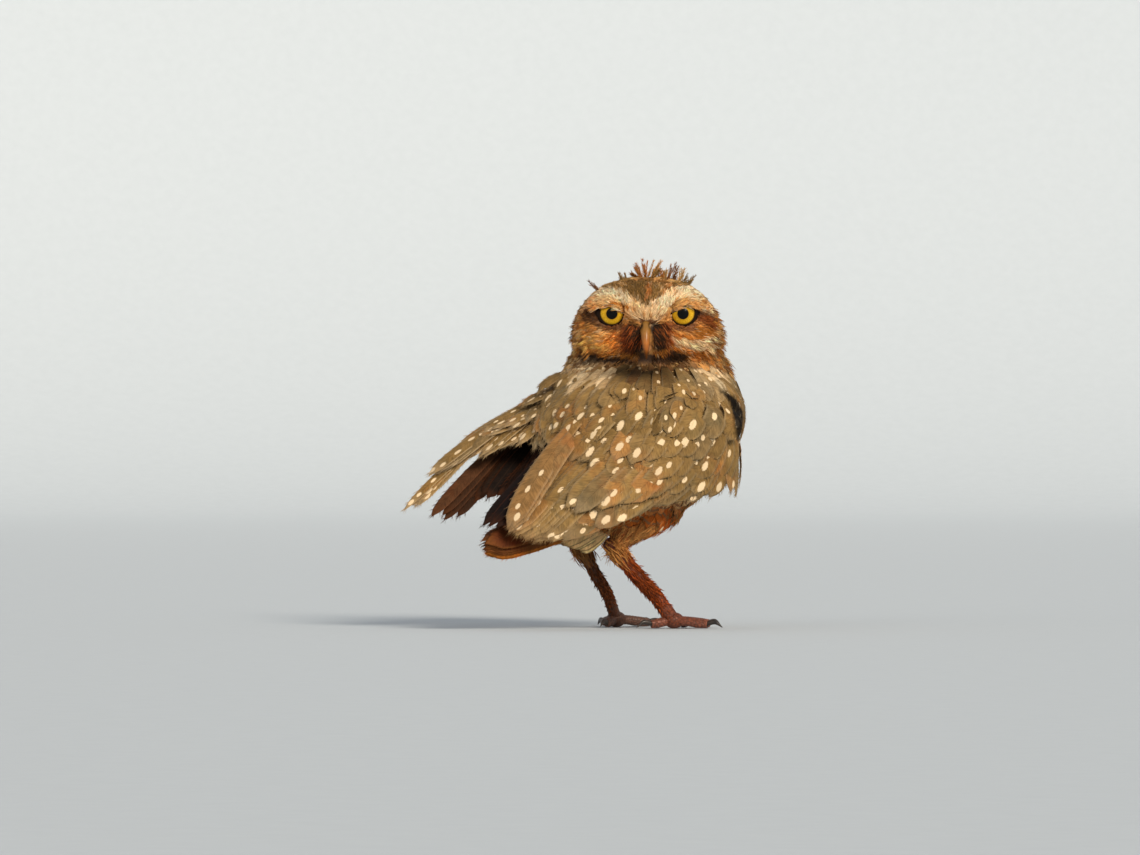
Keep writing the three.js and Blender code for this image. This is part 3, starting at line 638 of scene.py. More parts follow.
def vanes(batch, centre, normal, half, shape, tone, spot, mark, edge, cells, columns=7, camber=0.1,
          thick=0.1, ragged=0.14, seeds=None):
    """Thin closed feathers. centre and normal are lines of points, one for each feather."""
    count, stations = centre.shape[:2]
    share = np.linspace(0, 1, stations)
    along = unit(np.gradient(centre, axis=1))
    across = unit(np.cross(along, normal))
    steps = np.linalg.norm(np.diff(centre, axis=1), axis=-1)
    run = np.concatenate([np.zeros((count, 1)), np.cumsum(steps, 1)], 1)
    width = np.interp(share, shape[:, 0], shape[:, 1]) * half[:, None]
    t = np.linspace(-1, 1, columns)
    sideways = width[:, :, None] * t
    notch = ragged * half[:, None, None] * random.normal(size=(count, 1, columns))
    slip = (notch - 0.35 * half[:, None, None] * t**2) * share[:, None] ** 4
    crown = (camber * width[:, :, None] * (1 - t**2))[..., None]
    rim = (thick * (1 - 0.6 * np.abs(t)) * (1 - 0.5 * share[:, None]))[..., None]
    out = np.cross(across, along)[:, :, None]
    middle = centre[:, :, None] + across[:, :, None] * sideways[..., None]
    middle = middle + along[:, :, None] * slip[..., None]
    points = np.stack([middle + out * (crown + rim / 2), middle + out * (crown - rim / 2)], 1)
    size = stations * columns
    grid = np.arange(size).reshape(stations, columns)
    upper = np.stack([grid[:-1, :-1], grid[:-1, 1:], grid[1:, 1:], grid[1:, :-1]], -1).reshape(-1, 4)
    border = np.concatenate([grid[0], grid[1:, -1], grid[-1, -2::-1], grid[-2:0:-1, 0]])
    after = np.roll(border, -1)
    rims = np.stack([border + size, after + size, after, border], 1)
    quads = np.concatenate([upper, upper[:, ::-1] + size, rims])
    sharp = np.arange(len(quads)) >= 2 * len(upper)
    seeds = random.uniform(size=count) if seeds is None else seeds
    full = (count, 2, stations, columns)
    place = fill(full, (run[:, :, None] + slip)[:, None], sideways[:, None], seeds[:, None, None, None])
    where = fill(full, share[:, None], np.abs(t), run[:, -1, None, None, None])
    patch = cells[:, None, None, None]
    uv = patch[..., :2] + patch[..., 2:] * fill(full, t * 0.4, share[:, None] - 0.5)
    light = lit(full, points)
    batch.add(points, (2 * size * np.arange(count))[:, None, None] + quads, rim=np.tile(sharp, count),
              tone=each(full, tone) * light, spot=each(full, spot) * light, mark=each(full, mark),
              edge=each(full, edge), place=place, where=where, uv=uv)
    return dict(tops=points[:, 0], along=along, across=across, place=place[:, 0], where=where[:, 0],
                tone=tone, spot=spot, mark=mark, edge=edge, cells=cells)


def strands(batch, root, way, bend, length, width, tone, cells, stations=4, like=None):
    """Thin closed three-sided barbs that taper to a point. Those like a feather carry its pattern on."""
    count = len(root)
    share = np.linspace(0, 1, stations)
    run = (length[:, None] * share)[..., None]
    line = root[:, None] + way[:, None] * run + bend[:, None] * (length[:, None] * share**2)[..., None]
    along = unit(np.gradient(line, axis=1))
    across = unit(np.cross(along, random.normal(size=(count, 1, 3))))
    other = np.cross(along, across)
    half = (width[:, None] / 2 * (0.75 + 0.5 * share - 1.13 * share**3))[..., None, None]
    turn = np.array([0, 2.094, 4.189])[:, None]
    rings = line[:, :, None] + across[:, :, None] * (half * np.cos(turn))
    rings = rings + other[:, :, None] * (half * np.sin(turn))
    a = np.arange(3 * (stations - 1)).reshape(-1, 3)
    b = np.roll(a, -1, 1)
    quads = np.stack([a, b, b + 3, a + 3], -1).reshape(-1, 4)
    thirds = np.array([[2, 1, 0], [3 * stations - 3, 3 * stations - 2, 3 * stations - 1]])
    offset = (3 * stations * np.arange(count))[:, None, None]
    full = (count, stations, 3)
    place = fill(full, run, 0, random.uniform(size=(count, 1, 1)))
    where = fill(full, share[:, None], 0, 1)
    spot, mark, edge = CREAM, NO_SPOT, (0, 0, 0)
    if like is not None:
        start, step, region, spot, mark, edge = like
        place = start[:, None, None] + step[:, None, None] * run[..., None] + np.zeros((*full, 3))
        where = region[:, None, None] + np.zeros((*full, 3))
    patch = cells[:, None, None]
    uv = patch[..., :2] + patch[..., 2:] * fill(full, [-0.4, 0, 0.4], share[:, None] - 0.5)
    batch.add(rings, offset + quads, thirds=offset + thirds, tone=each(full, tone) * lit(full, rings),
              spot=each(full, spot), mark=each(full, mark), edge=each(full, edge), place=place, where=where,
              uv=uv)


# Materials
class Graph:
    """A material's nodes, made by name, with short names for common sums."""

    def __init__(self, name):
        self.material = bpy.data.materials.new(name)
        self.material.use_nodes = True
        self.tree = self.material.node_tree
        self.shader = next(n for n in self.tree.nodes if n.type == "BSDF_PRINCIPLED")

    def node(self, kind, **inputs):
        made = self.tree.nodes.new("ShaderNode" + kind)
        for name, value in inputs.items():
            self.feed(made.inputs[name.replace("_", " ")], value)
        return made

    def feed(self, socket, value):
        if isinstance(value, bpy.types.NodeSocket):
            self.tree.links.new(value, socket)
        elif isinstance(value, (tuple, list, np.ndarray)) and socket.type == "RGBA":
            socket.default_value = (*[float(x) for x in value][:3], 1)
        else:
            socket.default_value = value

    def math(self, operation, *values):
        made = self.tree.nodes.new("ShaderNodeMath")
        made.operation = operation
        for socket, value in zip(made.inputs, values):
            self.feed(socket, value)
        return made.outputs[0]

    def attribute(self, name):
        made = self.tree.nodes.new("ShaderNodeAttribute")
        made.attribute_name = name
        return made.outputs["Vector"]

    def parts(self, vector):
        return self.node("SeparateXYZ", Vector=vector).outputs

    def vector(self, x, y, z):
        return self.node("CombineXYZ", X=x, Y=y, Z=z).outputs[0]

    def ramp(self, value, low, high, to_low=0.0, to_high=1.0):
        made = self.node("MapRange", Value=value, From_Min=low, From_Max=high, To_Min=to_low, To_Max=to_high)
        made.interpolation_type = "SMOOTHSTEP"
        return made.outputs[0]

    def mix(self, share, a, b, blend="MIX"):
        made = self.tree.nodes.new("ShaderNodeMix")
        made.data_type = "RGBA"
        made.blend_type = blend
        self.feed(made.inputs[0], share)
        self.feed(made.inputs[6], a)
        self.feed(made.inputs[7], b)
        return made.outputs[2]

    def plus(self, a, b):
        return self.math("ADD", a, b)

    def minus(self, a, b):
        return self.math("SUBTRACT", a, b)

    def times(self, a, b):
        return self.math("MULTIPLY", a, b)

    def over(self, a, b):
        return self.math("DIVIDE", a, b)

    def distance(self, x, y):
        return self.math("SQRT", self.plus(self.times(x, x), self.times(y, y)))

    def tint(self, a, b):
        return self.mix(1.0, a, b, "MULTIPLY")

    def shade(self, colour, level):
        return self.tint(colour, self.vector(level, level, level))

    def noise(self, vector, scale, detail=2.0, roughness=0.5):
        made = self.node("TexNoise", Vector=vector, Scale=scale, Detail=detail, Roughness=roughness)
        return made.outputs[0]

    def here(self):
        return self.tree.nodes.new("ShaderNodeTexCoord").outputs["Object"]

    def bump(self, height, strength, distance):
        made = self.node("Bump", Height=height, Strength=strength, Distance=distance)
        self.feed(self.shader.inputs["Normal"], made.outputs[0])

    def finish(self, colour, roughness=0.6, **settings):
        self.feed(self.shader.inputs["Base Color"], colour)
        self.feed(self.shader.inputs["Roughness"], roughness)
        for name, value in settings.items():
            self.feed(self.shader.inputs[name.replace("_", " ")], value)
        return self.material


def plumage_material():
    g = Graph("plumage")
    x, y, seed = g.parts(g.attribute("place"))
    share, edge_share, length = g.parts(g.attribute("where"))
    spot_x, spot_y, spot_r = g.parts(g.attribute("mark"))
    fringe, period = g.parts(g.attribute("edge"))[:2]
    spot = g.attribute("spot")
    off = g.math("ABSOLUTE", y)
    # barbs: fine streaks that slant back from the shaft
    slant = g.times(g.minus(x, g.times(off, 0.9)), 2.4)
    barbs = g.noise(g.vector(slant, g.times(y, 0.3), g.times(seed, 60)), 1.0, 3.0, 0.6)
    blotch = g.noise(g.vector(x, y, g.times(seed, 40)), 0.28, 2.0)
    level = g.plus(g.ramp(barbs, 0.3, 0.7, 0.72, 1.22), g.ramp(blotch, 0.35, 0.65, -0.12, 0.12))
    colour = g.shade(g.attribute("tone"), level)
    drift = g.noise(g.here(), 55, 3.0, 0.6)
    colour = g.mix(g.ramp(drift, 0.52, 0.72, 0.0, 0.5), colour, g.tint(colour, (1.5, 0.95, 0.62)))
    colour = g.mix(g.ramp(drift, 0.28, 0.46, 0.75, 0.0), colour, g.tint(colour, (0.66, 0.76, 0.9)))
    # a darker shaft line and middle
    shaft = g.times(g.ramp(off, 0.08, 0.3, 0.3, 0.0), g.ramp(length, 6, 9))
    colour = g.mix(shaft, colour, DARK * 1.5)
    # pale fringe
    rim = g.math("MAXIMUM", g.ramp(edge_share, 0.72, 1.0), g.ramp(share, 0.84, 1.0))
    colour = g.mix(g.times(rim, fringe), colour, spot)
    # bars
    turn = g.over(g.plus(x, g.times(off, 0.25)), g.math("MAXIMUM", period, 0.5))
    bar = g.ramp(g.math("SINE", g.times(turn, 6.2832)), 0.45, 0.8)
    colour = g.mix(g.times(bar, g.math("GREATER_THAN", period, 0.4)), colour, spot)
    # oval spots, which stand further back along a long feather by turns on either side
    reach = 99.0
    for back, way, size in ((0.0, 1.0, 1.0), (5.5, -1.0, 0.8), (16.0, -1.3, 0.95), (27.0, 1.2, 0.9)):
        dx = g.over(g.minus(g.plus(x, back), spot_x), g.times(spot_r, 1.7 * size))
        dy = g.over(g.minus(g.times(y, way), spot_y), g.times(spot_r, size))
        far = g.distance(dx, dy)
        far = g.plus(far, g.times(g.math("LESS_THAN", seed, 0.45), 9.0)) if back == 5.5 else far
        reach = g.math("MINIMUM", far, reach)
    oval = g.ramp(g.plus(reach, g.ramp(barbs, 0.3, 0.7, -0.16, 0.16)), 0.85, 1.1, 1.0, 0.0)
    g.bump(barbs, 0.35, 0.0003)
    return g.finish(g.mix(oval, colour, spot), g.ramp(barbs, 0.3, 0.7, 0.8, 0.66), Specular_IOR_Level=0.12)


def skin_material():
    g = Graph("skin")
    grain = g.noise(g.here(), 700, 3.0)
    g.bump(grain, 0.5, 0.0006)
    return g.finish(g.shade(g.attribute("tone"), g.ramp(grain, 0.3, 0.7, 0.6, 0.95)), 0.8)


def eye_material():
    g = Graph("eye")
    x, y, r = g.parts(g.attribute("iris"))  # across, up, and how far from the pupil's middle
    rays = g.vector(g.times(g.math("ARCTAN2", y, x), 9), g.times(r, 0.5), 0.0)
    rays = g.noise(rays, 1.6, 3.0)
    flecks = g.noise(g.vector(x, y, 0.0), 1.2, 3.0)
    yellow = g.mix(g.ramp(rays, 0.3, 0.7), (0.60, 0.30, 0.008), (0.86, 0.53, 0.03))
    yellow = g.mix(g.ramp(flecks, 0.5, 0.8, 0.0, 0.6), yellow, (0.45, 0.22, 0.01))
    yellow = g.mix(g.ramp(r, 3.0, 4.2, 0.5, 0.0), yellow, (0.40, 0.20, 0.01))
    # painted shade: the iris darkens towards its top, under the upper lid and brow
    yellow = g.mix(g.ramp(y, 0.5, 3.5, 0.0, 0.6), yellow, (0.28, 0.11, 0.006))
    ring = g.mix(g.ramp(r, 4.9, 5.7), yellow, (0.03, 0.012, 0.004))
    pupil = g.math("MAXIMUM", g.distance(x, g.plus(y, PUPIL_DROP)), g.minus(r, 2.0))
    edge = g.ramp(pupil, PUPIL_RADIUS - 0.12, PUPIL_RADIUS + 0.12, 1.0, 0.0)
    colour = g.mix(edge, ring, (0.003, 0.003, 0.003))
    return g.finish(colour, 0.4, Coat_Weight=0.28, Coat_Roughness=0.03, Coat_IOR=1.3, Specular_IOR_Level=0.05)


def lid_material():
    g = Graph("lid")
    grain = g.noise(g.here(), 1800, 2.0)
    g.bump(grain, 0.4, 0.0002)
    return g.finish(g.mix(grain, (0.008, 0.004, 0.002), (0.022, 0.010, 0.005)), 0.7, Specular_IOR_Level=0.1)


def horn_material(name, low, high, scale, toned):
    g = Graph(name)
    grain = g.noise(g.here(), scale, 4.0, 0.6)
    colour = g.mix(g.ramp(grain, 0.3, 0.7), low, high)
    colour = g.tint(colour, g.attribute("tone")) if toned else colour
    g.bump(grain, 0.25, 0.0003)
    return g.finish(colour, g.ramp(grain, 0.3, 0.7, 0.32, 0.5))


def leg_material():
    g = Graph("leg")
    scale = g.node("TexVoronoi", Vector=g.here(), Scale=620)
    scale.feature = "DISTANCE_TO_EDGE"
    line = g.ramp(scale.outputs["Distance"], 0.0, 0.12)
    colour = g.shade(g.attribute("tone"), g.ramp(g.noise(g.here(), 900, 3.0), 0.3, 0.7, 0.7, 1.25))
    colour = g.mix(g.times(g.minus(1.0, line), 0.6), colour, (0.02, 0.01, 0.006))
    g.bump(line, 0.6, 0.0004)
    return g.finish(colour, 0.55)


PLUMAGE = plumage_material()
BARE = 99  # a spacing that leaves the skin without roots
AROUND = list(itertools.product((-1, 0, 1), repeat=3))


def unwrap(thing):
    for other in bpy.context.scene.objects:
        other.select_set(False)
    bpy.context.view_layer.objects.active = thing
    thing.select_set(True)
    bpy.ops.object.mode_set(mode="EDIT")
    bpy.ops.mesh.select_all(action="SELECT")
    bpy.ops.uv.smart_project(angle_limit=math.radians(70), island_margin=0.002)
    bpy.ops.object.mode_set(mode="OBJECT")
    thing.data.uv_layers[0].name = "OFBake"


skin = make_skin()
skin.data.materials.append(skin_material())
skin_points = read_points(skin.data) * 1000
skin_normals = read_normals(skin.data)
unwrap(skin)
tone_layer = skin.data.attributes.new("tone", "FLOAT_VECTOR", "POINT")
tone_layer.data.foreach_set("vector", markings_and_painted_shade(skin_points, skin_normals).astype(np.float32).ravel())
skin.data.calc_loop_triangles()
corner_points = read_numbers(skin.data.loop_triangles, "vertices", 3, np.int32)
corner_loops = read_numbers(skin.data.loop_triangles, "loops", 3, np.int32)
skin_uv = read_numbers(skin.data.uv_layers["OFBake"].data, "uv", 2, np.float32)
surface = BVHTree.FromPolygons(skin_points.tolist(), corner_points.tolist())
write_points(skin.data, metres(skin_points))
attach(skin, "root")
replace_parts(skin, "torso", "neck", "head", "thigh_left", "thigh_right")


def scatter(count, spacing):
    """Roots spread over the skin, no two nearer than the spacing there. Gives place, normal and UV."""
    corners = skin_points[corner_points]
    area = np.linalg.norm(np.cross(corners[:, 1] - corners[:, 0], corners[:, 2] - corners[:, 0]), axis=1)
    apart = spacing(corners.mean(1), unit(skin_normals[corner_points].mean(1)))
    weight = area / np.maximum(apart, 0.3) ** 2 * (apart < BARE)
    chosen = random.choice(len(area), size=count, p=weight / weight.sum())
    mix = random.dirichlet((1, 1, 1), size=count)[..., None]
    place = (corners[chosen] * mix).sum(1)
    normal = unit((skin_normals[corner_points[chosen]] * mix).sum(1))
    uv = (skin_uv[corner_loops[chosen]] * mix).sum(1)
    apart = apart[chosen]
    taken = {}
    kept = []
    keys = np.floor(place / apart.max()).astype(int).tolist()
    for i, (p, (x, y, z)) in enumerate(zip(place, keys)):
        near = (q for dx, dy, dz in AROUND for q in taken.get((x + dx, y + dy, z + dz), ()))
        r2 = apart[i] ** 2
        if not any((p[0] - q[0]) ** 2 + (p[1] - q[1]) ** 2 + (p[2] - q[2]) ** 2 < r2 for q in near):
            taken.setdefault((x, y, z), []).append(tuple(p))
            kept.append(i)
    return place[kept], normal[kept], uv[kept]


def lie_on_skin(root, normal, way, length, lift, stations):
    """Lines from just under the skin to tips held over it, following its bends."""

    def onto(points, height):
        found = [surface.find_nearest(Vector(p)) for p in points]
        place, n = (np.array([f[k] for f in found]) for k in (0, 1))
        return place + n * height[:, None], n

    middle, normal_middle = onto(root + way * (length * 0.5)[:, None], 0.55 * lift)
    tip, normal_tip = onto(root + way * length[:, None], lift)
    s = np.linspace(0, 1, stations)
    easy = np.stack([(1 - s) ** 2, 2 * s * (1 - s), s**2])
    facing = unit(np.einsum("ks,knc->nsc", easy, np.stack([normal, normal_middle, normal_tip])))
    return bent(root - normal * 0.3, middle, tip, stations), facing


def skin_cells(points):
    """Patches at the places on the skin's unwrap that lie nearest to points."""
    nearest = [surface.find_nearest(Vector(p))[2] for p in points]
    return cells_at(skin_uv[corner_loops[nearest]].mean(1))


def cells_at(uv, size=0.003):
    return np.concatenate([uv, np.full((len(uv), 2), size)], 1)


def grid_cells(number, across):
    """Patches for long feathers, in a square grid of so many across."""
    size = np.full(len(number), 0.9 / across)
    return np.stack([(number % across + 0.5) / across, (number // across + 0.5) / across, size, size], -1)


def fringe_barbs(batch, made, per=40, length=1.6, width=0.22, warm=1.05):
    """Loose barbs on the outer part of each feather and along its edge, which soften where it ends."""
    count, stations, columns = made["tops"].shape[:3]
    full = (count, per)
    rows = stations - 1 - (random.uniform(size=full) ** 1.5 * 0.62 * stations).astype(int)
    cols = np.where(random.uniform(size=full) < 0.5, 0, columns - 1)
    inside = (rows == stations - 1) | (random.uniform(size=full) < 0.35)
    cols = np.where(inside, random.integers(0, columns, size=full), cols)
    who = np.arange(count)[:, None]
    side = (cols / (columns - 1) * 2 - 1)[..., None]
    along, across = made["along"][who, rows], made["across"][who, rows]
    out = np.cross(across, along)
    way = unit(along + across * side * 0.5 - 0.05 * out + 0.18 * random.normal(size=along.shape))
    root = made["tops"][who, rows, cols] - way * 0.35 + out * 0.04
    keep = np.repeat(np.arange(count), per)
    size = length * random.uniform(0.5, 1.3, size=count * per)
    own = made["cells"][keep] * [1, 1, 0.1, 1]
    own[:, 0] += 0.45 * made["cells"][keep, 2]
    step = np.stack([np.sum(way * along, -1), np.sum(way * across, -1), np.zeros(full)], -1)
    start, region = made["place"][who, rows, cols], made["where"][who, rows, cols]
    start, step, region, root, way = (v.reshape(-1, 3) for v in (start, step, region, root, way))
    like = (start, step, region, made["spot"][keep], made["mark"][keep], made["edge"][keep])
    strands(batch, root, way, 0.06 * random.normal(size=root.shape), size, np.full(count * per, width),
            jitter(made["tone"][keep] * warm, 0.06), own, stations=2, like=like)


def tufts(batch, times, place, uv, lie, bend, length, widths, tone, apart, pull, stray, stations):
    """Tufts of so many strands each, with roots a little apart and tips drawn together."""
    count = len(place)
    for _ in range(times):
        start = apart * random.normal(size=(count, 3))
        aim = unit(lie - pull * start + stray * random.normal(size=(count, 3)))
        strands(batch, place + start, aim, bend, length * random.uniform(0.7, 1.1, count),
                random.uniform(*widths, count), jitter(tone, 0.1), cells_at(uv), stations)


def turned(way, normal, angle):
    other = np.cross(normal, way)
    return way * np.cos(angle)[:, None] + other * np.sin(angle)[:, None]


# Body feathers
def body_spacing(p, normal):
    _, head, neck, _, thigh_part = zones(p, normal)
    apart = np.where(p[:, 2] < 47, 2.2, 4.2 - neck - 1.2 * thigh_part)
    return np.where(head > 0.5, BARE, apart)


def body_coat():
    place, normal, uv = scatter(14000, body_spacing)
    count = len(place)
    _, _, neck, under, thigh_part = zones(place, normal)
    way = turned(flow(place, normal), normal, random.normal(size=count) * 0.12)
    length = (15 - 4.5 * neck - 2.5 * under - 5 * thigh_part) * random.uniform(0.88, 1.12, count)
    half = (4.4 - 1.2 * neck - 0.4 * under - 1.6 * thigh_part) * random.uniform(0.9, 1.1, count)
    lift = 1.3 + 0.4 * random.uniform(size=count)
    tone = jitter(markings_and_painted_shade(place + way * (0.5 * length)[:, None], normal), 0.08)
    barred = (under > 0.5) & (place[:, 2] > 58) & (place[:, 2] < 98)
    chance = np.where(under > 0.5, 0.7, 0.6 - 0.3 * neck)
    spotted = (random.uniform(size=count) < chance) & ~barred & (thigh_part < 0.5)
    spot = np.where(barred[:, None], BROWN * 1.5, CREAM * random.uniform(0.85, 1.1, (count, 1)))
    mark = np.stack([length - 3.2, random.uniform(-1.8, 1.8, count), np.ones(count)], -1)
    mark[~spotted] = NO_SPOT
    edge = np.stack([np.full(count, 0.12), np.where(barred, 4.2, 0.0), np.zeros(count)], -1)
    line, facing = lie_on_skin(place, normal, way, length, lift, 9)
    upper = (under <= 0.5) & (thigh_part < 0.5)
    pieces = {
        "coat_back": (upper & (neck < 0.5), "mantle"),
        "coat_neck": (upper & (neck >= 0.5), "mantle"),
        "coat_breast": ((under > 0.5) & (thigh_part < 0.5), "underparts"),
    }
    for name, (chosen, slot) in pieces.items():
        batch = Batch()
        values = (value[chosen] for value in (tone, spot, mark, edge, cells_at(uv)))
        made = vanes(batch, line[chosen], facing[chosen], half[chosen], ROUND, *values)
        fringe_barbs(batch, made, per=13, length=1.8)
        batch.make(name, PLUMAGE, slot)


body_coat()


def soft_spacing(p, normal):
    head = zones(p, normal)[1]
    low = (p[:, 2] < 66) & (head < 0.5) & (p[:, 1] < 44)
    return np.where(low, 1.6, BARE)


def soft_coat():
    """Long loose feathers of the thighs and the lower belly, in tufts."""
    place, normal, uv = scatter(16000, soft_spacing)
    count = len(place)
    batch = Batch()
    # pale patches, strongest on the right and where the skin faces OUT towards the key light: pale feathers,
    # made paler there with painted light
    out = smooth(normal @ OUT, -0.2, 0.5) * (place[:, 0] < 0)
    pale = smooth(wave(place, 7, 71), -0.3, 0.5) * smooth(-place[:, 2], -58, -50) * (0.35 + 0.65 * out)
    rusty = smooth(wave(place, 6, 77), -0.2, 0.6)
    tone = blend(markings_and_painted_shade(place, normal), 0.7 * ORANGE + 0.1 * BUFF, 0.55 * rusty)
    tone = jitter(blend(tone, np.array([0.84, 0.42, 0.13]), 0.75 * pale), 0.2)
    lie = unit(turned(flow(place, normal), normal, 0.2 * random.normal(size=count)) + 0.2 * normal)
    length = random.uniform(6, 10.5, count) * (1 + 0.25 * smooth(-place[:, 2], -48, -41))
    tufts(batch, 6, place, uv, lie, -0.2 * normal - 0.12 * UP, length, (0.3, 0.5), tone, apart=0.75, pull=0.1,
          stray=0.05, stations=4)
    # those at the ends of the thighs hang down over the tops of the shanks
    count = 260
    for side in (-1, 1):
        share = random.uniform(0, 0.12, count)
        middle, ahead = (curve([at(side, *p) for p in TARSUS_LINE], share + step) for step in (0, 0.05))
        along = unit(ahead - middle)
        around = unit(np.cross(along, random.normal(size=(count, 3))))
        root = middle + around * random.uniform(2.4, 5, (count, 1)) - along * 2
        aim = unit(along + 0.1 * around + 0.12 * random.normal(size=root.shape))
        # brighter where the tufts face OUT towards the key light: painted light, mixed with blotches of
        # colour
        painted_light_and_blotch = smooth(around @ OUT + wave(root, 4, 79), -0.6, 0.8)
        tone = blend(np.array([0.30, 0.08, 0.012]), np.array([0.72, 0.32, 0.085]), painted_light_and_blotch)
        # the left tufts are darkened to less than half: painted shade
        strands(batch, root, aim, -0.28 * around, random.uniform(6, 13, count),
                random.uniform(0.35, 0.55, count), jitter(tone * (0.45 if side > 0 else 1), 0.2),
                skin_cells(root), stations=5)
    batch.make("coat_soft", PLUMAGE, "underparts")


soft_coat()


# Head feathers: narrow tufts on the face, short rounded feathers on the crown and the back of the head
def crown_spacing(p, normal):
    face, head = zones(p, normal)[:2]
    return np.where((head > 0.5) & (face < 0.9), 2.3, BARE)


def crown_coat():
    place, normal, uv = scatter(9000, crown_spacing)
    count = len(place)
    way = turned(flow(place, normal), normal, random.normal(size=count) * 0.15)
    length = 7.2 * random.uniform(0.85, 1.15, count)
    half = 1.9 * random.uniform(0.9, 1.1, count)
    tone = jitter(markings_and_painted_shade(place, normal), 0.16)
    spotted = random.uniform(size=count) < 0.5
    mark = np.stack([length - 1.8, 0 * length, random.uniform(0.45, 0.7, count)], -1)
    mark[~spotted] = NO_SPOT
    spot = BUFF * random.uniform(0.8, 1.3, (count, 1))
    batch = Batch()
    line, facing = lie_on_skin(place, normal, way, length, 1.0 + 0.4 * random.uniform(size=count), 6)
    edge = np.tile([0.2, 0, 0], (count, 1))
    made = vanes(batch, line, facing, half, ROUND, tone, spot, mark, edge, cells_at(uv), columns=5)
    fringe_barbs(batch, made, per=10, length=1.8, warm=1.15)
    batch.make("coat_crown", PLUMAGE, "mantle")


crown_coat()


def face_spacing(p, normal):
    face = zones(p, normal)[0]
    u, v, w = head_place(p)
    bill = (np.abs(u + 0.8) < 3.2) & (v < -2) & (v > -20)
    free = (face > 0.12) & (from_eye(u, v) > 6.6) & ~bill & (w > 2)
    return np.where(free, 0.95, BARE)


def face_coat():
    place, normal, uv = scatter(34000, face_spacing)
    count = len(place)
    u, v, _ = head_place(place)
    way = turned(flow(place, normal), normal, random.normal(size=count) * 0.22)
    brow = np.exp(-((from_path(np.abs(u), v, ((29, 11), (17, 9.5), (4, 1.5))) / 3.5) ** 2))
    rim = smooth(np.abs(u), 25, 33)
    length = (4.0 + 1.8 * brow + 2.6 * rim) * random.uniform(0.75, 1.25, count)
    length = np.where(from_eye(u, v) < 9, np.minimum(length, 2.4), length)
    length = np.where(np.abs(u) < 9, length * 0.8, length)
    tone = markings_and_painted_shade(place + way * (0.3 * length)[:, None], normal)
    odd = random.uniform(size=(count, 1))
    bright = smooth(tone.mean(-1), 0.12, 0.3)[:, None]
    tone = np.where(odd < 0.15 * bright, tone * [0.66, 0.5, 0.35], tone)
    tone = np.where(odd > 1 - 0.14 * bright, tone * 0.5 + 0.5 * CREAM, tone)
    tone = jitter(tone, 0.14)
    raise_by = (0.22 + 0.2 * rim + 0.1 * brow + 0.06 * random.normal(size=count))[:, None]
    lie = unit(way + normal * raise_by)
    for name, chosen in (("coat_face_right", u > 0), ("coat_face_left", u <= 0)):
        batch = Batch()
        tufts(batch, 7, (place - normal * 0.3)[chosen], uv[chosen], lie[chosen], -0.16 * normal[chosen],
              length[chosen], (0.32, 0.48), tone[chosen], apart=0.42, pull=0.12, stray=0.07, stations=3)
        batch.make(name, PLUMAGE, "face")


face_coat()


def ruff_spacing(p, normal):
    u, v, w = head_place(p)
    rim = (np.abs(u) > 27) & (v > -24) & (v < 6) & (w > -10) & (w < 16) & (normal @ OUT > -0.2)
    return np.where(rim, 1.9, BARE)


def ruff():
    """Longer tufts behind the cheeks, which stand out at the sides of the face."""
    place, normal, uv = scatter(5000, ruff_spacing)
    count = len(place)
    u, v, _ = head_place(place)
    batch = Batch()
    pick = random.uniform(size=(count, 1))
    tone = np.where(pick < 0.4, BROWN * 1.7, np.where(pick < 0.75, ORANGE * 0.8, BUFF * 1.1))
    tone = jitter(np.where((np.abs(u) < 30)[:, None], markings_and_painted_shade(place, normal), tone), 0.25)
    low = smooth(-v, 14, 20) * (u < 0)
    tone = blend(tone, CREAM * random.uniform(0.7, 1.15, (count, 1)), 0.8 * low)
    down = (0.25 + 0.02 * (6 - v))[:, None]
    lie = np.sign(u)[:, None] * ACROSS * 0.75 - UP * down + 0.35 * normal
    lie = unit(lie + 0.12 * random.normal(size=place.shape))
    length = np.where(u > 0, 6.2, 4.6) * random.uniform(0.7, 1.15, count) * (1 - 0.35 * smooth(v, -4, 5))
    tufts(batch, 8, place - 0.3 * normal, uv, lie, -0.12 * normal - 0.1 * UP, length, (0.288, 0.432), tone,
          apart=0.4, pull=0, stray=0.1, stations=4)
    batch.make("ruff", PLUMAGE, "face")


ruff()

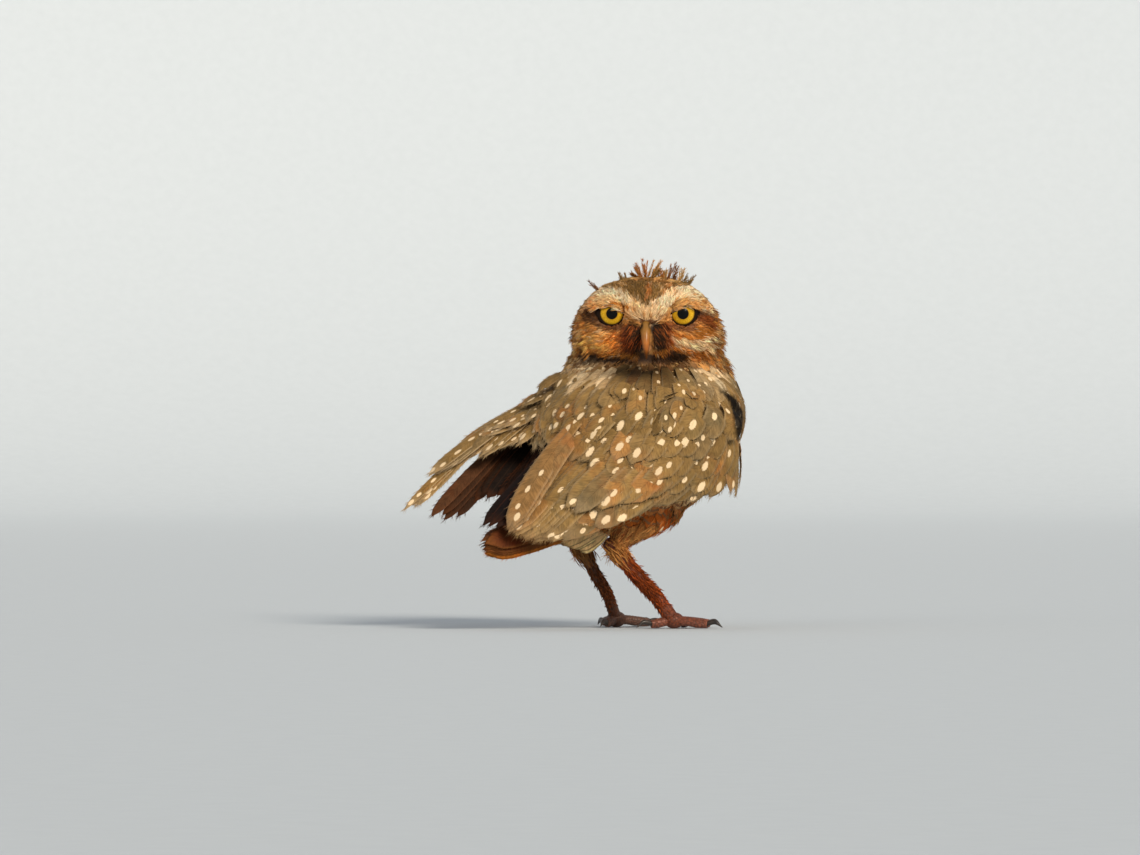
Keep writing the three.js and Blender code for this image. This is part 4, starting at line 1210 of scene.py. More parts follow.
# Wings and tail. A row's roots and tips run along smooth lines of points, each outward, forward and up.
# Its feathers face from the first to the last of its faces. half is their half width, clear how far they
# stay off the trunk, bow how far they bend outward, and uneven how much they stray.
RIGHT_ROWS = {
    # the right primaries are painted near black: painted shade in the cleft between the wings, where they
    # show
    "primaries": dict(
        count=9, roots=[[36, -8, 84], [14, -34, 92], [-9, -42, 92]],
        tips=[[16, -80, 45], [5, -94, 48], [-6, -99, 51]], faces=[[0.8, -0.4, 0.3], [0.3, -0.6, 0.7]],
        half=4.2, shape=LONG, clear=3, bow=0, tone=DARK * 0.22, look="dark", uneven=0.3),
    "secondaries": dict(
        count=15, roots=[[46, 10, 82], [44, -8, 84], [38, -24, 90]],
        tips=[[47, -18, 62], [42, -38, 60], [34, -60, 51], [25, -76, 43], [17, -86, 42]],
        faces=[[1, -0.3, 0.1], [0.6, -0.6, 0.5]], half=6.5, clear=5, bow=3, tone=MANTLE * 0.85),
    "tertials": dict(
        count=11, roots=[[36, -20, 97], [20, -31, 101], [0, -39, 102]],
        tips=[[16, -85, 42], [11, -91, 44.5], [6.5, -96.5, 48]], faces=[[0.6, -0.5, 0.6], [0.3, -0.6, 0.7]],
        half=6, clear=6, bow=3.5, uneven=0.3, tone=MANTLE * 0.95),
    "coverts_low": dict(
        count=14, roots=[[45, 12, 90], [43.5, -7, 92], [36, -22, 97]],
        tips=[[49, -4, 62], [47, -26, 64], [40, -48, 60], [31, -64, 56], [21, -76, 57]],
        faces=[[1, 0, 0.1], [0.6, -0.6, 0.5]], half=6.5, clear=6.2, bow=3),
    "coverts": dict(
        count=13, roots=[[44, 16, 98], [43, -6, 100], [34, -20, 104]],
        tips=[[50, 8, 68], [50, -14, 71], [45, -36, 72], [36, -54, 71], [25, -66, 74]],
        faces=[[1, 0, 0.1], [0.6, -0.6, 0.5]], half=6.5, clear=7.4, bow=3),
    "marginal": dict(
        count=5, roots=[[38, 28, 96], [42, 16, 101]], tips=[[43, 26, 66], [50, 12, 64]],
        faces=[[0.7, 0.7, 0], [1, 0.2, 0]], half=5, clear=4),
    "scapulars_low": dict(
        count=12, roots=[[38, 8, 106], [30, -14, 108], [10, -24, 108]],
        tips=[[50, -8, 80], [48, -32, 80], [36, -52, 80], [19, -62, 80], [5, -66, 82]],
        faces=[[0.9, 0, 0.5], [0.1, -0.6, 0.8]], half=6.5, clear=8.4),
    "scapulars": dict(
        count=11, roots=[[36, 14, 110], [26, -12, 112], [6, -24, 110]],
        tips=[[50, 2, 90], [46, -24, 90], [32, -42, 90], [14, -53, 89], [-1, -56, 89]],
        faces=[[0.9, 0, 0.5], [0, -0.6, 0.8]], half=6.5, clear=9.4),
}
LEFT_ROWS = {
    # the left primaries and secondaries hang under the raised coverts: brown feathers, painted darker as the
    # shade under them
    "primaries": dict(
        count=8, roots=[[53, -30, 96], [50, -28, 93], [45, -26, 92]],
        tips=[[60, -82, 52], [56, -75, 53], [50, -65, 60], [43, -59, 63]],
        faces=[[-0.4, -0.8, 0.4], [-0.6, -0.8, 0.2]], half=3.6, shape=LONG, clear=2, bow=1,
        tone=CHOCOLATE * 1.2, end_tone=DARK * 0.3, look="dark"),
    "secondaries": dict(
        count=8, roots=[[42, -26, 92], [34, -28, 94], [26, -30, 95]],
        tips=[[38, -57, 64], [28, -58, 64], [16, -60, 68]], faces=[[-0.5, -0.8, 0.3], [-0.2, -0.9, 0.4]],
        half=5, clear=2, bow=1, tone=DARK * 0.3, look="dark"),
    "long": dict(
        count=6, roots=[[50, -30, 107], [52, -34, 103]], tips=[[63, -97, 56], [61.5, -89, 62]],
        faces=[[-0.4, -0.6, 0.7], [-0.4, -0.6, 0.7]], half=2.7, shape=LONG, clear=6, bow=2, tone=MANTLE,
        look="streaks"),
    "coverts": dict(
        count=18, roots=[[50, -16, 111], [32, -16, 113], [14, -14, 113]],
        tips=[[64, -86, 73], [57, -72, 78], [45, -59, 84], [30, -52, 88], [12, -52, 87]],
        faces=[[-0.2, -0.6, 0.8], [-0.1, -0.6, 0.8]], half=4.4, clear=7, bow=2, tone=MANTLE, look="streaks"),
    "coverts_high": dict(
        count=16, roots=[[49, -8, 114], [36, -12, 115.5], [18, -14, 115]],
        tips=[[61, -67, 84], [54, -58, 91], [44, -50, 97], [30, -46, 97], [14, -46, 93]],
        faces=[[-0.2, -0.7, 0.7], [0, -0.6, 0.8]], half=5.2, clear=9, bow=1, tone=MANTLE, look="streaks"),
    "marginal": dict(
        count=9, roots=[[42, 24, 100], [46, 8, 104], [47, -10, 108]],
        tips=[[50, 4, 80], [57, -14, 84], [61, -40, 88]], faces=[[1, 0.1, 0.3], [1, -0.1, 0.4]],
        half=6, clear=5, bow=4),
    "scapulars": dict(
        count=15, roots=[[44, 2, 113], [30, -14, 115], [17, -22, 115]],
        tips=[[56, -44, 95], [46, -45, 98.5], [30, -44, 99], [16, -44, 97]],
        faces=[[-0.1, -0.6, 0.8], [0, -0.6, 0.8]], half=6, clear=9.4, bow=1),
    "shoulder": dict(
        count=15, roots=[[40, 10, 114], [34, -4, 118], [23, -14, 120]],
        tips=[[54, -27, 106], [49, -34, 107.5], [38, -37, 108], [26, -38, 104]],
        faces=[[0, -0.5, 0.85], [0, -0.6, 0.8]], half=6, clear=8),
}
LEFT_ROWS["shoulder_top"] = dict(
    count=11, roots=[[34, -1, 120], [27, -10, 124.5], [18, -17, 125]],
    tips=[[43.5, -28, 112], [36, -33, 115], [26, -36, 114]], faces=[[0, -0.6, 0.8], [0, -0.7, 0.7]],
    half=5, clear=8, bow=2.5)
trunk_rows = table(TRUNK_SECTIONS, np.linspace(0, 1, 200))


def clear_of_trunk(p, margin):
    """Moves points out of the trunk to a margin, and those just beyond the margin nearer to it."""
    p = np.array(p, float)
    back, wide, deep = (np.interp(p[:, 2], trunk_rows[:, 0], trunk_rows[:, k]) for k in (1, 2, 3))
    share = np.hypot(p[:, 0] / (wide + margin), (p[:, 1] - back) / (deep + margin))
    moved = np.where(share < 1, 1, np.where((share < 1.2) & (p[:, 2] > 64), 1 + 0.35 * (share - 1), share))
    scale = np.where((p[:, 2] > 46) & (p[:, 2] < 121), moved / np.maximum(share, 0.05), 1)
    p[:, 0] *= scale
    p[:, 1] = back + (p[:, 1] - back) * scale
    return p


def spot_marks(length, half, back, size):
    """A spot near each feather's tip: how far along, how far aside, and its radius."""
    count = len(length)
    parts = [length - random.uniform(*back, count), half * random.uniform(-0.5, 0.5, count)]
    return np.stack([*parts, random.uniform(*size, count)], -1)


PLAIN_ROW = dict(shape=ROUND, tone=MANTLE, look="spots", bow=2, uneven=1, barbs=108, loose=2.4)
# How strongly the fringe of each kind of feather shows
EDGE_SHARES = {"spots": 0.14, "streaks": 0.3, "dark": 0.4, "edged": 0.85}
WING_GRID, CAPE_GRID = 13, 14  # patches across a piece's map


def add_row(batch, side, row, cell, tilt=3.2):
    row = {**PLAIN_ROW, **row}
    count, look = row["count"], row["look"]
    shares = np.linspace(0, 1, count)
    roots = curve([at(side, *p) for p in row["roots"]], shares)
    first, last = (unit(at(side, *p)) for p in row["faces"])
    facing = unit(first + (last - first) * shares[:, None])
    vary = 1 - 0.09 * row["uneven"] * random.uniform(size=count)
    tips = clear_of_trunk(curve([at(side, *p) for p in row["tips"]], shares), row["clear"])
    stray = 1.3 * row["uneven"] * random.normal(size=(count, 3))
    stray -= 0.8 * facing * np.sum(stray * facing, -1, keepdims=True)
    tips = roots + (tips - roots) * vary[:, None] + stray
    middle = clear_of_trunk((roots + tips) / 2 + facing * row["bow"], row["clear"])
    stations = 22 if row["shape"] is LONG else 16
    along = unit(tips - roots)
    out = turn_about(beside(facing, along), along, np.radians(side * tilt + 1.5 * random.normal(size=count)))
    droop = 1.3 * np.linspace(0, 1, stations)[None, :, None] ** 4
    line = bent(roots, middle, tips, stations) - out[:, None] * droop
    length = np.linalg.norm(tips - roots, axis=1)
    half = row["half"] * vary * random.uniform(0.93, 1.07, count)
    tone = blend(row["tone"], row.get("end_tone", row["tone"]), shares[:, None] ** 0.4)
    tone = jitter(tone * (mantle_tone(tips) / MANTLE if look in ("spots", "streaks") else 1), 0.08)
    spot = CREAM * random.uniform(0.9, 1.1, (count, 1))
    mark = np.tile(np.array(NO_SPOT, float), (count, 1))
    if look == "spots":
        mark = spot_marks(length, half, (3.4, 8), (1.2, 1.7))
        mark[random.uniform(size=count) < 0.06] = NO_SPOT
    elif look == "streaks":
        mark = spot_marks(length, half, (3, 9), (1.0, 1.4))
    else:
        # the dark rows' red-brown fringe is painted light shining through their edges
        spot = tone * 0.6 + 0.4 * RED_BROWN * random.uniform(0.3, 1.2, (count, 1))
    if look == "edged":
        spot = BROWN * random.uniform(0.3, 0.8, (count, 1))
    edge = np.tile([EDGE_SHARES[look], 0, 0], (count, 1))
    cells = grid_cells(cell + np.arange(count), WING_GRID)
    seeds = random.uniform(0.5 if look == "streaks" else 0, 1, count)
    facing = np.repeat(out[:, None], stations, 1)
    made = vanes(batch, line, facing, half, row["shape"], tone, spot, mark, edge, cells, seeds=seeds,
                 columns=9, camber=0.06, thick=0.08, ragged=0.1)
    fringe_barbs(batch, made, per=row["barbs"], length=row["loose"], width=0.24)
    return cell + count


for side, name, rows in ((-1, "right", RIGHT_ROWS), (1, "left", LEFT_ROWS)):
    batch = Batch()
    cell = 0
    for row in rows.values():
        cell = add_row(batch, side, row, cell)
    wing = batch.make("wing_feathers_" + name, PLUMAGE, "flight_feathers")
    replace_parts(wing, "wing_" + name)


# Cape: tiers of feathers, each with the height of its roots and tips, how far it clears the trunk, its
# count and its half width
CAPE_TIERS = [
    (112, 92, 10.4, 32, 5.2),
    (115, 97, 10.4, 34, 5),
    (118, 102, 9.6, 34, 4.6),
    (121, 107, 7.6, 34, 4.2),
    (124.5, 112.5, 5, 36, 3.6),
]


def add_cape(batch, tier, cell):
    """Feathers of the hind neck and mantle, which cover the roots of both wings' rows."""
    root_up, tip_up, margin, count, half = tier
    turn = np.linspace(-0.5, 3.75, count) + 0.05 * random.normal(size=count)
    v = root_up - HEAD[2]
    ups = [r[0] for r in NECK_SECTIONS]
    middle, wide, deep = (np.interp(v, ups, [r[k] for r in NECK_SECTIONS]) for k in (1, 2, 3))
    ring = on_head(wide * np.cos(turn), v + 0 * turn, middle + deep * np.sin(turn))
    outward = unit(on_head(np.cos(turn) / wide, 0 * turn, np.sin(turn) / deep) - HEAD)
    roots = ring - outward * 1.5 + 0.6 * random.normal(size=ring.shape)
    ahead = turn + 0.16 * smooth(turn, 1.3, 2.6)
    v = tip_up - HEAD[2] + random.normal(size=count) * 1.8
    margin = margin * (1 - 0.75 * smooth(np.cos(turn), 0.1, 0.75))
    tips = on_head((wide + 2) * np.cos(ahead), v, middle + (deep + 3) * np.sin(ahead))
    tips = clear_of_trunk(tips, margin)
    middles = clear_of_trunk((roots + tips) / 2 + outward * 1.2, margin * 0.8)
    along = unit(tips - roots)
    tilt = np.radians(3.5 * np.where(turn > 1.5, 1, -1) + 1.8 * random.normal(size=count))
    out = turn_about(beside(outward, along), along, tilt)
    stations = 12
    droop = np.linspace(0, 1, stations)[None, :, None] ** 4
    line = bent(roots, middles, tips, stations) - out[:, None] * droop
    tone = jitter(markings_and_painted_shade((roots + tips) / 2, OUT + 0 * outward), 0.08)
    mark = spot_marks(np.linalg.norm(tips - roots, axis=1), half, (2.8, 5), (0.75, 1.15))
    mark[random.uniform(size=count) < 0.25] = NO_SPOT
    halves = half * random.uniform(0.9, 1.1, count)
    spot = CREAM * random.uniform(0.9, 1.1, (count, 1))
    edge = np.tile([EDGE_SHARES["spots"], 0, 0], (count, 1))
    made = vanes(batch, line, np.repeat(out[:, None], stations, 1), halves, ROUND, tone, spot, mark, edge,
                 grid_cells(cell + np.arange(count), CAPE_GRID), camber=0.05, thick=0.07, ragged=0.12)
    fringe_barbs(batch, made, per=80, length=2.4)
    return cell + count


def cape():
    batch = Batch()
    cell = 0
    for tier in CAPE_TIERS:
        cell = add_cape(batch, tier, cell)
    batch.make("cape", PLUMAGE, "mantle")


cape()

# Tail: the middle feathers lie on top and level, the outer ones below and sloping like a tent.
TAIL_COUNT = 12
TAIL_ROOTS = [[-8, 48, 50], [-7, 48, 51], [-5, 49, 52.5], [3, 49, 53], [8, 48, 50]]
TAIL_TIPS = [[6, 98.4, 36.6], [6, 98.8, 37.8], [6.4, 99, 39.2], [13, 93, 39.5], [17, 86, 37]]
TAIL_TENT = math.radians(62)


# Coverts over, under and beside the tail's root
TAIL_ABOVE = dict(
    count=9, roots=[[-8, -46, 62], [0, -46, 64], [8, -46, 62]],
    tips=[[-10, -74, 55], [2, -78, 59], [14, -74, 55]],
    faces=[[-0.5, -0.2, 0.9], [0.5, -0.2, 0.9]], half=5, clear=1, bow=1, tone=MANTLE * 0.8)
TAIL_BELOW = dict(
    count=9, roots=[[-9, -42, 50], [0, -40, 46], [9, -42, 50]],
    tips=[[-10, -66, 43.5], [0, -74, 39.5], [12, -70, 41]], faces=[[-0.7, 0, -0.7], [0.7, 0, -0.7]],
    half=4.2, clear=1, bow=1, tone=CREAM * [0.8, 0.7, 0.5], look="edged")
TAIL_BESIDE = dict(
    count=9, roots=[[13, -36, 45], [13, -42, 47.5], [12, -46, 52]],
    tips=[[12.5, -53, 38.5], [13, -61, 39.5], [12.5, -69, 42.5], [10, -75, 46]],
    faces=[[0.9, -0.7, 0.2], [0.9, -0.6, 0.4]], half=3.2, clear=1, bow=2.5, tone=CREAM * [1.18, 1.0, 0.7],
    look="edged", barbs=24, loose=1.2)


def tail_feathers():
    batch = Batch()
    count, stations = TAIL_COUNT, 22
    place = np.linspace(-1, 1, count)
    root = curve(TAIL_ROOTS, (place + 1) / 2)
    tip = curve(TAIL_TIPS, (place + 1) / 2) + 0.6 * random.normal(size=root.shape)
    way = unit(tip - root)
    lean = TAIL_TENT * np.interp(place, [-1, 0.1, 0.5, 1], [-1, -0.9, 0.5, 0.9])
    facing = unit(np.stack([np.sin(lean), 0.1 + 0 * place, np.cos(lean)], -1))
    line = bent(root, (root + tip) / 2 + facing * 1.5, tip, stations)
    layer = 0.45 * count * (1 - np.abs(place))
    line = line + facing[:, None] * layer[:, None, None] * np.linspace(0.3, 1, stations)[:, None] / 2
    out = turn_about(beside(facing, way), way, -0.06 * np.sign(place))
    # the lower outer feathers turn orange: partly their own rufous, partly painted warm light bounced from
    # below
    low = smooth(-place, 0.55, 0.95)
    tone = jitter(blend(np.array([0.10, 0.024, 0.006]), np.array([0.46, 0.135, 0.014]), low), 0.08)
    edge = np.stack([0.25 + 0 * place, np.where(place > 0.3, 12.0, 0.0), 0 * place], -1)
    made = vanes(batch, line, np.repeat(out[:, None], stations, 1), np.full(count, 6.8), LONG, tone,
                 np.tile(ORANGE * 0.6, (count, 1)), np.tile(np.array(NO_SPOT, float), (count, 1)), edge,
                 grid_cells(np.arange(count), 6), columns=9, camber=0.08, thick=0.2, ragged=0.05)
    fringe_barbs(batch, made, per=120, length=1.8, warm=1.2)
    cell = 20
    for side, row in ((1, TAIL_ABOVE), (1, TAIL_BELOW), (-1, TAIL_BESIDE)):
        cell = add_row(batch, side, row, cell)
    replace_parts(batch.make("tail_feathers", PLUMAGE, "flight_feathers"), "tail")


tail_feathers()


# Eyes
def flat_batch(points, quads, thirds, **values):
    batch = Batch()
    batch.add(points, quads, thirds=thirds, **values)
    return batch


def lid_line(outward):
    return np.where(outward > 0, LID_TOP - 0.02 * outward**2, LID_TOP + math.tan(LID_SLANT) * outward)


def brow_over_lid(name, side):
    """Small feathers on the upper lid, which hang a little over its edge."""
    x, y = np.meshgrid(np.arange(-8.6, 8.8, 0.62), np.arange(-3, 9, 0.62))
    x, y = (q.ravel() + 0.25 * random.normal(size=q.size) for q in (x, y))
    reach = np.hypot(x, y)
    chosen = (y > lid_line(x) + 0.55) & (reach < 8.7)
    x, y, reach = x[chosen], y[chosen], reach[chosen]
    depth = np.sqrt(np.maximum(8.75**2 - reach**2, 1.0))
    root = on_head(side * (EYE_APART + x), EYE_HEIGHT + y, EYE_DEPTH + depth)
    outward = 0.94 + 0 * x
    rise = np.where(x < 0, 0.42, -0.05 - 0.03 * x) - 0.16 * smooth(lid_line(x) + 2.2 - y, 0, 1.6)
    way = on_head(side * outward, rise, 0.22 + 0 * x) - HEAD
    tone = markings_and_painted_shade(root + 0.2 * way, unit(root - on_head(side * EYE_APART, EYE_HEIGHT, EYE_DEPTH)))
    edge_row = y < lid_line(x) + 1.25
    tone[edge_row & (random.uniform(size=len(x)) < 0.3)] = CREAM * 0.9
    batch = Batch()
    for _ in range(5):
        aim = unit(way + 0.16 * random.normal(size=root.shape))
        start = root + 0.3 * random.normal(size=root.shape)
        strands(batch, start, aim, -0.12 * OUT + 0 * aim, random.uniform(2.4, 4.6, len(x)),
                random.uniform(0.3, 0.5, len(x)), jitter(tone, 0.2), skin_cells(root))
    batch.make("brow_" + name, PLUMAGE, "face")


def bulge(reach):
    """How far the clear front of the eye stands out over the ball."""
    return 0.5 * np.exp(-((reach / 4.5) ** 2))


def eyeball(name, side, material):
    tilt = np.clip(np.linspace(0, np.pi, 60)[:, None], 0.01, np.pi - 0.01)
    turn = np.linspace(0, 2 * np.pi, 64, endpoint=False)
    r = np.sin(tilt) * EYE_RADIUS
    x, y = r * np.cos(turn), r * np.sin(turn)
    z = np.cos(tilt) * EYE_RADIUS + bulge(r) * (np.cos(tilt) > 0) + 0 * turn
    rings = on_head(side * EYE_APART + x, EYE_HEIGHT + y, EYE_DEPTH + z)
    points, quads, thirds = loft(rings[:, ::-1])
    iris = np.stack([x, y, np.where(z > 0, r + 0 * turn, 9)], -1)[:, ::-1].reshape(-1, 3)
    iris = np.vstack([iris, [0, 0, 0], [0, 0, 9]])
    eye = flat_batch(points, quads, thirds, iris=iris).make("eyeball_" + name, material, "eye")
    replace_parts(eye, "eye_" + name)


# The lids' section from the opening outward: how far from its edge, and how high over the ball
LID_PROFILE = [(-0.1, -0.5), (-0.12, 0.1), (0.05, 0.42), (0.45, 0.6), (1.2, 0.5), (2.2, 0.3)]


def lids(name, side, material):
    """A shell over the ball, with an opening that the brow cuts off."""
    phi = np.linspace(0, 2 * np.pi, 96, endpoint=False)
    c, s = np.cos(phi), np.sin(phi)  # c is outward, away from the bill
    slope = math.tan(LID_SLANT)
    level = np.where(s > 0.02, LID_TOP / np.maximum(s, 0.02), 99)
    slant = np.where(s - slope * c > 0.02, LID_TOP / np.maximum(s - slope * c, 0.02), 99)
    opening = np.minimum(IRIS_RADIUS, np.where(c >= 0, level, slant))
    for _ in range(3):
        opening = (np.roll(opening, 1) + 2 * opening + np.roll(opening, -1)) / 4
    rings = []
    for step, height in LID_PROFILE:
        reach = opening + step
        rings.append((reach, np.sqrt(np.maximum(EYE_RADIUS**2 - reach**2, 4.0)) + bulge(reach) + height))
    for step, least, depth in ((2.3, 7.9, 3.0), (1.2, 7.2, 2.2)):
        rings.append((np.maximum(opening + step, least), depth + 0 * c))
    rows = [on_head(side * (EYE_APART + r * c), EYE_HEIGHT + r * s, EYE_DEPTH + depth) for r, depth in rings]
    points, quads, _ = loft(np.array(rows), closed=False)
    flat_batch(points, quads if side < 0 else quads[:, ::-1], None).make("lids_" + name, material, "face")


EYE, LID = eye_material(), lid_material()
for side, name in ((1, "left"), (-1, "right")):
    eyeball(name, side, EYE)
    lids(name, side, LID)
    brow_over_lid(name, side)


# Bill
def bill():
    line = [[-0.9, -2.6, 20], [-0.9, -2.9, 27.3], [-0.9, -5.8, 31.8], [-0.8, -12, 34], [-0.6, -18.2, 31.6]]
    sizes = [[3.4, 3.6], [2.9, 3.3], [2.4, 3.1], [1.7, 2.2], [0.3, 0.4]]

    def ridged(turn):
        return 1 - 0.16 * np.sin(1.5 * turn - 0.75 * np.pi) ** 2 * (np.sin(turn) < 0)

    points, quads, thirds = tube([on_head(*p).reshape(3) for p in line], sizes, ACROSS, sides=40, steps=48)
    u, v, w = head_place(points)
    for side in (-1, 1):
        hole = np.exp(-(((u + 0.9 - side * 2.4) / 0.9) ** 2 + ((v + 2.6) / 1.1) ** 2 + ((w - 29.5) / 2) ** 2))
        points = points - (hole * 1.3 * side)[:, None] * ACROSS - (hole * 0.6)[:, None] * OUT
    top = smooth(v, -14, -2)[:, None]
    ridge = smooth(w - (26 + 6 * smooth(-v, 2, 12)), 1.5, 4.5)[:, None]
    tone = (1 - top) * np.array([0.50, 0.15, 0.016]) + top * np.array([0.32, 0.15, 0.022])
    tone = tone * [0.95, 0.9, 0.7] * (0.25 + 0.7 * ridge)
    # the nostrils are painted near black: painted shade in their openings
    hole = sum(np.exp(-(((u + 0.9 - s * 2.3) / 1.1) ** 2 + ((v + 2.2) / 1.5) ** 2)) for s in (-1, 1))[:, None]
    tone = tone * (1 - 0.95 * np.clip(hole, 0, 1))
    horn = horn_material("bill", (0.85, 0.85, 0.85), (1.1, 1.1, 1.1), 420, True)
    upper = flat_batch(points, quads, thirds, tone=tone).make("bill_hook", horn, "horn")
    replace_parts(upper, "bill_upper")
    line = [on_head(*p).reshape(3) for p in ([0, -11, 18], [0, -12, 24.5], [0, -14.6, 28.2])]
    points, quads, thirds = tube(line, [[3.6, 2], [3, 1.7], [1, 0.7]], ACROSS, 28, 24)
    tone = np.tile(np.array([0.34, 0.15, 0.05]), (len(points), 1))
    lower = flat_batch(points, quads, thirds, tone=tone).make("bill_under", horn, "horn")
    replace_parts(lower, "bill_lower")


bill()

# Legs
FOOT = np.array([19.5, 3.5])
TOES = {"inner": (-25, 17), "middle": (8, 21), "outer": (66, 17), "hind": (202, 12)}
LEG = leg_material()
CLAW = horn_material("claw", (0.012, 0.009, 0.008), (0.045, 0.03, 0.022), 500, False)


def along_toe(side, degrees, run, up):
    turn = math.radians(degrees)
    return at(side, FOOT[0] + run * math.sin(turn), FOOT[1] + run * math.cos(turn), up)


def add_toned(batch, skin_of, tone):
    """Adds a closed skin of one tone."""
    points, quads, thirds = skin_of
    batch.add(points, quads, thirds=thirds, tone=np.tile(tone, (len(points), 1)))


def toe_skin(side, degrees, reach):
    """A toe with pads below and rings above."""
    heights = ((0, 3.6), (0.35, 3.5), (0.7, 2.7), (1, 2.2))
    line = [along_toe(side, degrees, run * reach, up) for run, up in heights]
    across = np.cross(along_toe(side, degrees, 1, 0) - along_toe(side, degrees, 0, 0), UP)
    points, quads, thirds = tube(line, [[2.8, 2.6], [2.2, 2.2], [2.3, 2.3], [1.7, 1.9]], across, 20, 60)
    rings = (np.arange(len(points)) // 20) / 60 * reach
    points[:, 2] += smooth(points[:, 2], 2.5, 4.5) * 0.22 * (np.abs(np.sin(rings * 2.2)) - 0.5)
    points[:, 2] = np.maximum(points[:, 2], 0.02)
    return points, quads, thirds


def talon(side, name, toe, degrees, start):
    line = [along_toe(side, degrees, start + run, up) for run, up in ((-1.2, 2.3), (3.6, 3.2), (7.4, 0.75))]
    across = np.cross(along_toe(side, degrees, 1, 0) - along_toe(side, degrees, 0, 0), UP)
    claw = Batch()
    add_toned(claw, tube(line, [[1.15, 1.3], [0.95, 1.1], [0.15, 0.16]], across, 16, 24), (0.5, 0.5, 0.5))
    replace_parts(claw.make("talon_" + name + "_" + toe, CLAW, "claw"), "claw_" + name + "_" + toe)


def shank_feathers(side, name, tone, thick):
    """Short bristly feathers down the shank."""
    count = 1700
    share = random.uniform(0, 1, count) ** 0.9
    line = [at(side, *p) for p in TARSUS_LINE]
    middle = curve(line, share)
    along = unit(curve(line, np.minimum(share + 0.02, 1)) - middle + 1e-6)
    around = unit(np.cross(along, random.normal(size=(count, 3))))
    root = middle + around * ((3.2 - 0.5 * share) * thick - 0.2)[:, None]
    way = unit(along + 0.22 * around + 0.15 * random.normal(size=(count, 3)))
    tone = jitter(np.tile(tone, (count, 1)), 0.35)
    length = random.uniform(1.6, 3.4, count) * (1.25 - 0.45 * share) * thick
    loose = random.uniform(size=count) < 0.05
    way[loose] = unit(way[loose] + 0.7 * around[loose])
    uv = np.stack([share, random.uniform(size=count)], -1) * 0.9 + 0.05
    batch = Batch()
    strands(batch, root, way, -0.1 * around, length, random.uniform(0.4, 0.65, count), tone, cells_at(uv), 3)
    batch.make("shank_feathers_" + name, PLUMAGE, "leg")


def leg(side, name, tone, thick):
    batch = Batch()
    sizes = np.array([[3.3, 3.3], [2.7, 2.7], [2.7, 2.6], [3.3, 3.1]]) * thick
    add_toned(batch, tube([at(side, *p) for p in TARSUS_LINE], sizes, sides=28, steps=60), tone)
    add_toned(batch, ball(at(side, *FOOT, 3.9), [4.6, 5.0, 3.9], 0, 28, 18), tone * 0.9)
    for toe, (degrees, reach) in TOES.items():
        add_toned(batch, toe_skin(side, degrees, reach), tone * 1.1 + 0.02)
        talon(side, name, toe, degrees, reach + 0.2)
    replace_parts(batch.make("shank_" + name, LEG, "leg"), "tarsus_" + name, "foot_" + name)
    shank_feathers(side, name, tone * 1.5, thick)


# the left leg's tone is half the right's: painted shade on the left shank, foot, toes and shank feathers
leg(1, "left", np.array([0.09, 0.026, 0.007]), 0.9)
leg(-1, "right", np.array([0.18, 0.036, 0.007]), 1.12)


# Wisps that stand up from the crown, and the bristles beside the bill
def plume(batch, root, tip, width, tone):
    """A loose feather: a shaft with barbs on both sides."""
    way = tip - root
    length = np.linalg.norm(way)
    way = way / length
    flat = unit(np.cross(way, OUT + 0.7 * random.normal(size=3)))
    curl = 0.12 * random.normal(size=3)
    count = 66
    share = np.append(random.uniform(0.05, 0.95, count), 0)
    side = np.append(random.choice([-1.0, 1.0], count), 0)[:, None]
    place = root + way * (length * share)[:, None] + curl * (length * share**2)[:, None]
    aim = unit(way + side * flat * 0.5 + 0.1 * random.normal(size=place.shape))
    size = np.append(random.uniform(0.7, 1.2, count) * width * (1.15 - 0.6 * share[:-1]), length)
    bend = np.append(0 * aim[:-1], [curl], 0)
    thick = np.append(np.full(count, 0.24), 0.32)
    colour = jitter(np.tile(tone, (count + 1, 1)), 0.2)
    strands(batch, place, aim, bend, size, thick, colour, skin_cells(np.tile(root, (count + 1, 1))), 3)


# Where each set of plumes starts and ends across the head, how high it ends, and its tone
PLUMES = [
    (-0.5, -1.5, 31, RUFOUS),
    (-2, -6, 27.5, RUFOUS),
    (0.5, 3, 29.5, 0.5 * BUFF + 0.5 * ORANGE),
    (2, 6, 26.5, MANTLE),
    (-3.5, -7, 24.5, RUFOUS * 0.8),
    (8, 9, 25, BUFF),
    (10, 12.5, 27, BROWN * 1.8),
    (12.5, 16, 27.5, BROWN * 1.8),
    (15, 22, 23.5, MANTLE),
    (14, 19, 26, BUFF),
    (-19, -26, 19.5, BROWN * 1.8),
    (6, 7.5, 25.5, RUFOUS),
    (4, 4, 25, MANTLE),
    (17, 21, 20.5, MANTLE),
    (-10, -12, 23.3, MANTLE),
]


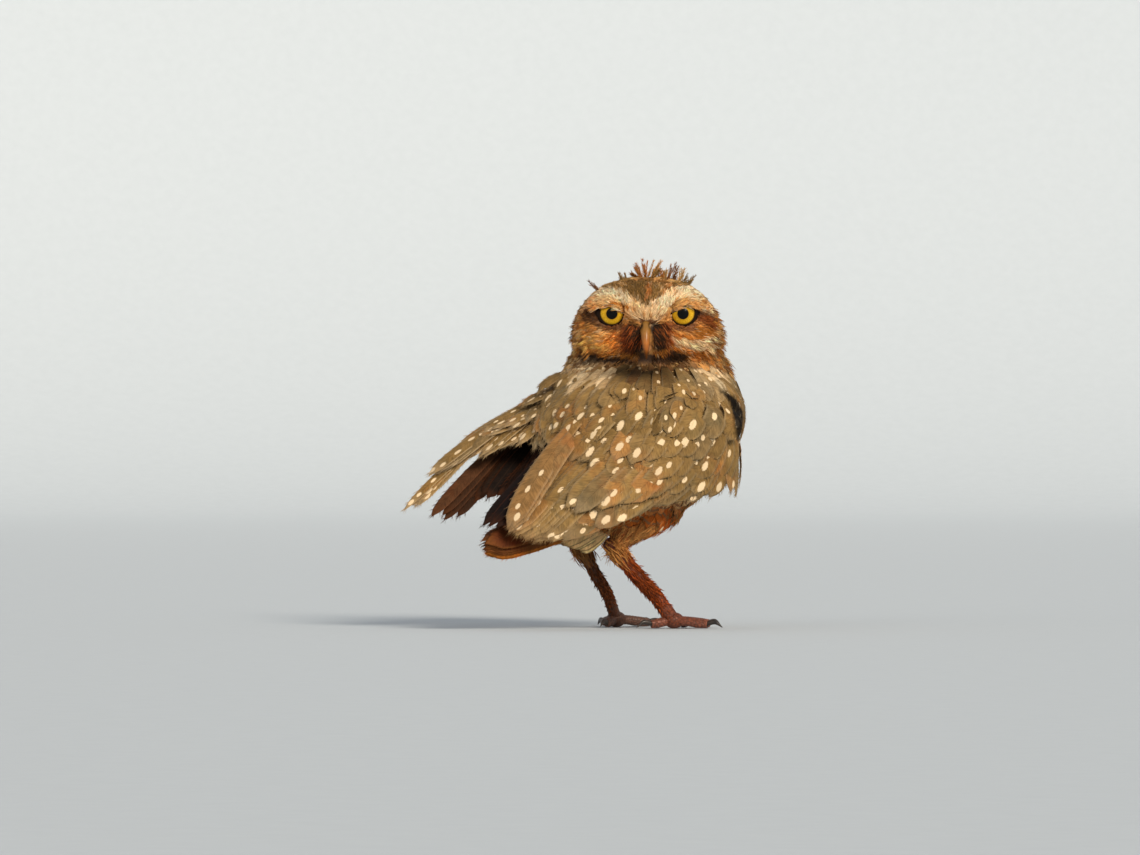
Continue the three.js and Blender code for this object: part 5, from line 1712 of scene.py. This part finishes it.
def wisps():
    batch = Batch()
    for from_u, to_u, to_v, colour in PLUMES:
        for _ in range(3):
            w = random.uniform(-9, 4)
            root = on_head(from_u + random.normal(), 20.3 - 0.022 * from_u**2, w).reshape(3)
            u, v = to_u + random.normal(), to_v * random.uniform(0.93, 1)
            tip = on_head(u, v, w + random.uniform(-3, 1)).reshape(3)
            plume(batch, root, tip, 2.6, colour * random.uniform(0.8, 1.2))
    for side in (-1, 1):
        count = 260
        u = side * random.uniform(2.6, 8.5, count)
        v = random.uniform(-10, 0.5, count)
        w = 27.2 - 0.35 * (np.abs(u) - 3) + 1.2 * smooth(-v, 0, 6)
        across = side * random.uniform(0.15, 0.9, count)
        aim = on_head(across, -1.0 + 0 * u, random.uniform(-0.2, 0.3, count)) - HEAD
        dark = random.uniform(size=count) < np.where(np.abs(u) < 6, 0.75, 0.45)
        tone = jitter(np.where(dark[:, None], DARK * 1.2, RED_BROWN), 0.3)
        root = on_head(u, v, w)
        strands(batch, root, unit(aim), -0.25 * OUT + 0 * aim, random.uniform(3.5, 7, count),
                np.full(count, 0.34), tone, skin_cells(root), 4)
    batch.make("wisps", PLUMAGE, "face")


wisps()


# Floor, backdrop, light and camera
def paper():
    g = Graph("paper")
    grain = g.noise(g.here(), 90, 3.0)
    return g.finish(g.mix(grain, (0.55, 0.60, 0.64), (0.59, 0.64, 0.68)), 0.9)


def studio_floor():
    """A round floor whose rim curves up into a wall, all round."""
    flat, bend = 4.8, 1.2
    rise = np.linspace(0, np.pi / 2, 14)[1:]
    profile = [(0.001, 0), (1.5, 0), (flat, 0)]
    profile += [(flat + bend * math.sin(t), bend - bend * math.cos(t)) for t in rise]
    around = np.linspace(0, 2 * np.pi, 96, endpoint=False)
    rings = np.array([[(r * math.cos(t), r * math.sin(t), z) for t in around] for r, z in profile])
    points, quads, _ = loft(rings, closed=False)
    mesh = bpy.data.meshes.new("floor")
    mesh.from_pydata(points.tolist(), [], quads.tolist())
    for polygon in mesh.polygons:
        polygon.use_smooth = True
    mesh.materials.append(paper())
    floor = bpy.data.objects.new("floor", mesh)
    bpy.context.scene.collection.objects.link(floor)


studio_floor()


def sun(name, across, up, out, strength, angle, colour):
    light = bpy.data.lights.new(name, "SUN")
    light.energy = strength
    light.angle = math.radians(angle)
    light.color = colour
    thing = bpy.data.objects.new(name, light)
    way = across * ACROSS + up * UP + out * OUT
    thing.rotation_euler = Vector(-way).to_track_quat("-Z", "Y").to_euler()
    bpy.context.scene.collection.objects.link(thing)


sun("key", 0.55, 0.7, 1.0, 2.8, 20, (1.0, 0.90, 0.76))
sun("fill", -0.9, 0.3, 0.9, 0.6, 50, (1.0, 0.92, 0.82))
world = bpy.data.worlds.new("studio")
world.use_nodes = True
world.node_tree.nodes["Background"].inputs[0].default_value = (0.92, 0.94, 0.97, 1)
world.node_tree.nodes["Background"].inputs[1].default_value = 0.45
bpy.context.scene.world = world
bpy.context.scene.view_settings.view_transform = "Standard"

CAMERA_AWAY = 4000  # from the middle of the head
SEEN_WIDTH = 547.2  # at that distance

camera_data = bpy.data.cameras.new("camera")
camera_data.sensor_width = 36
camera_data.lens = camera_data.sensor_width * CAMERA_AWAY / SEEN_WIDTH
camera_data.clip_end = 50
camera = bpy.data.objects.new("camera", camera_data)
camera.location = metres(-33.6 * ACROSS + 96.24 * UP + CAMERA_AWAY * OUT)
camera.rotation_euler = Vector(-OUT).to_track_quat("-Z", "Y").to_euler()
bpy.context.scene.collection.objects.link(camera)
bpy.context.scene.camera = camera
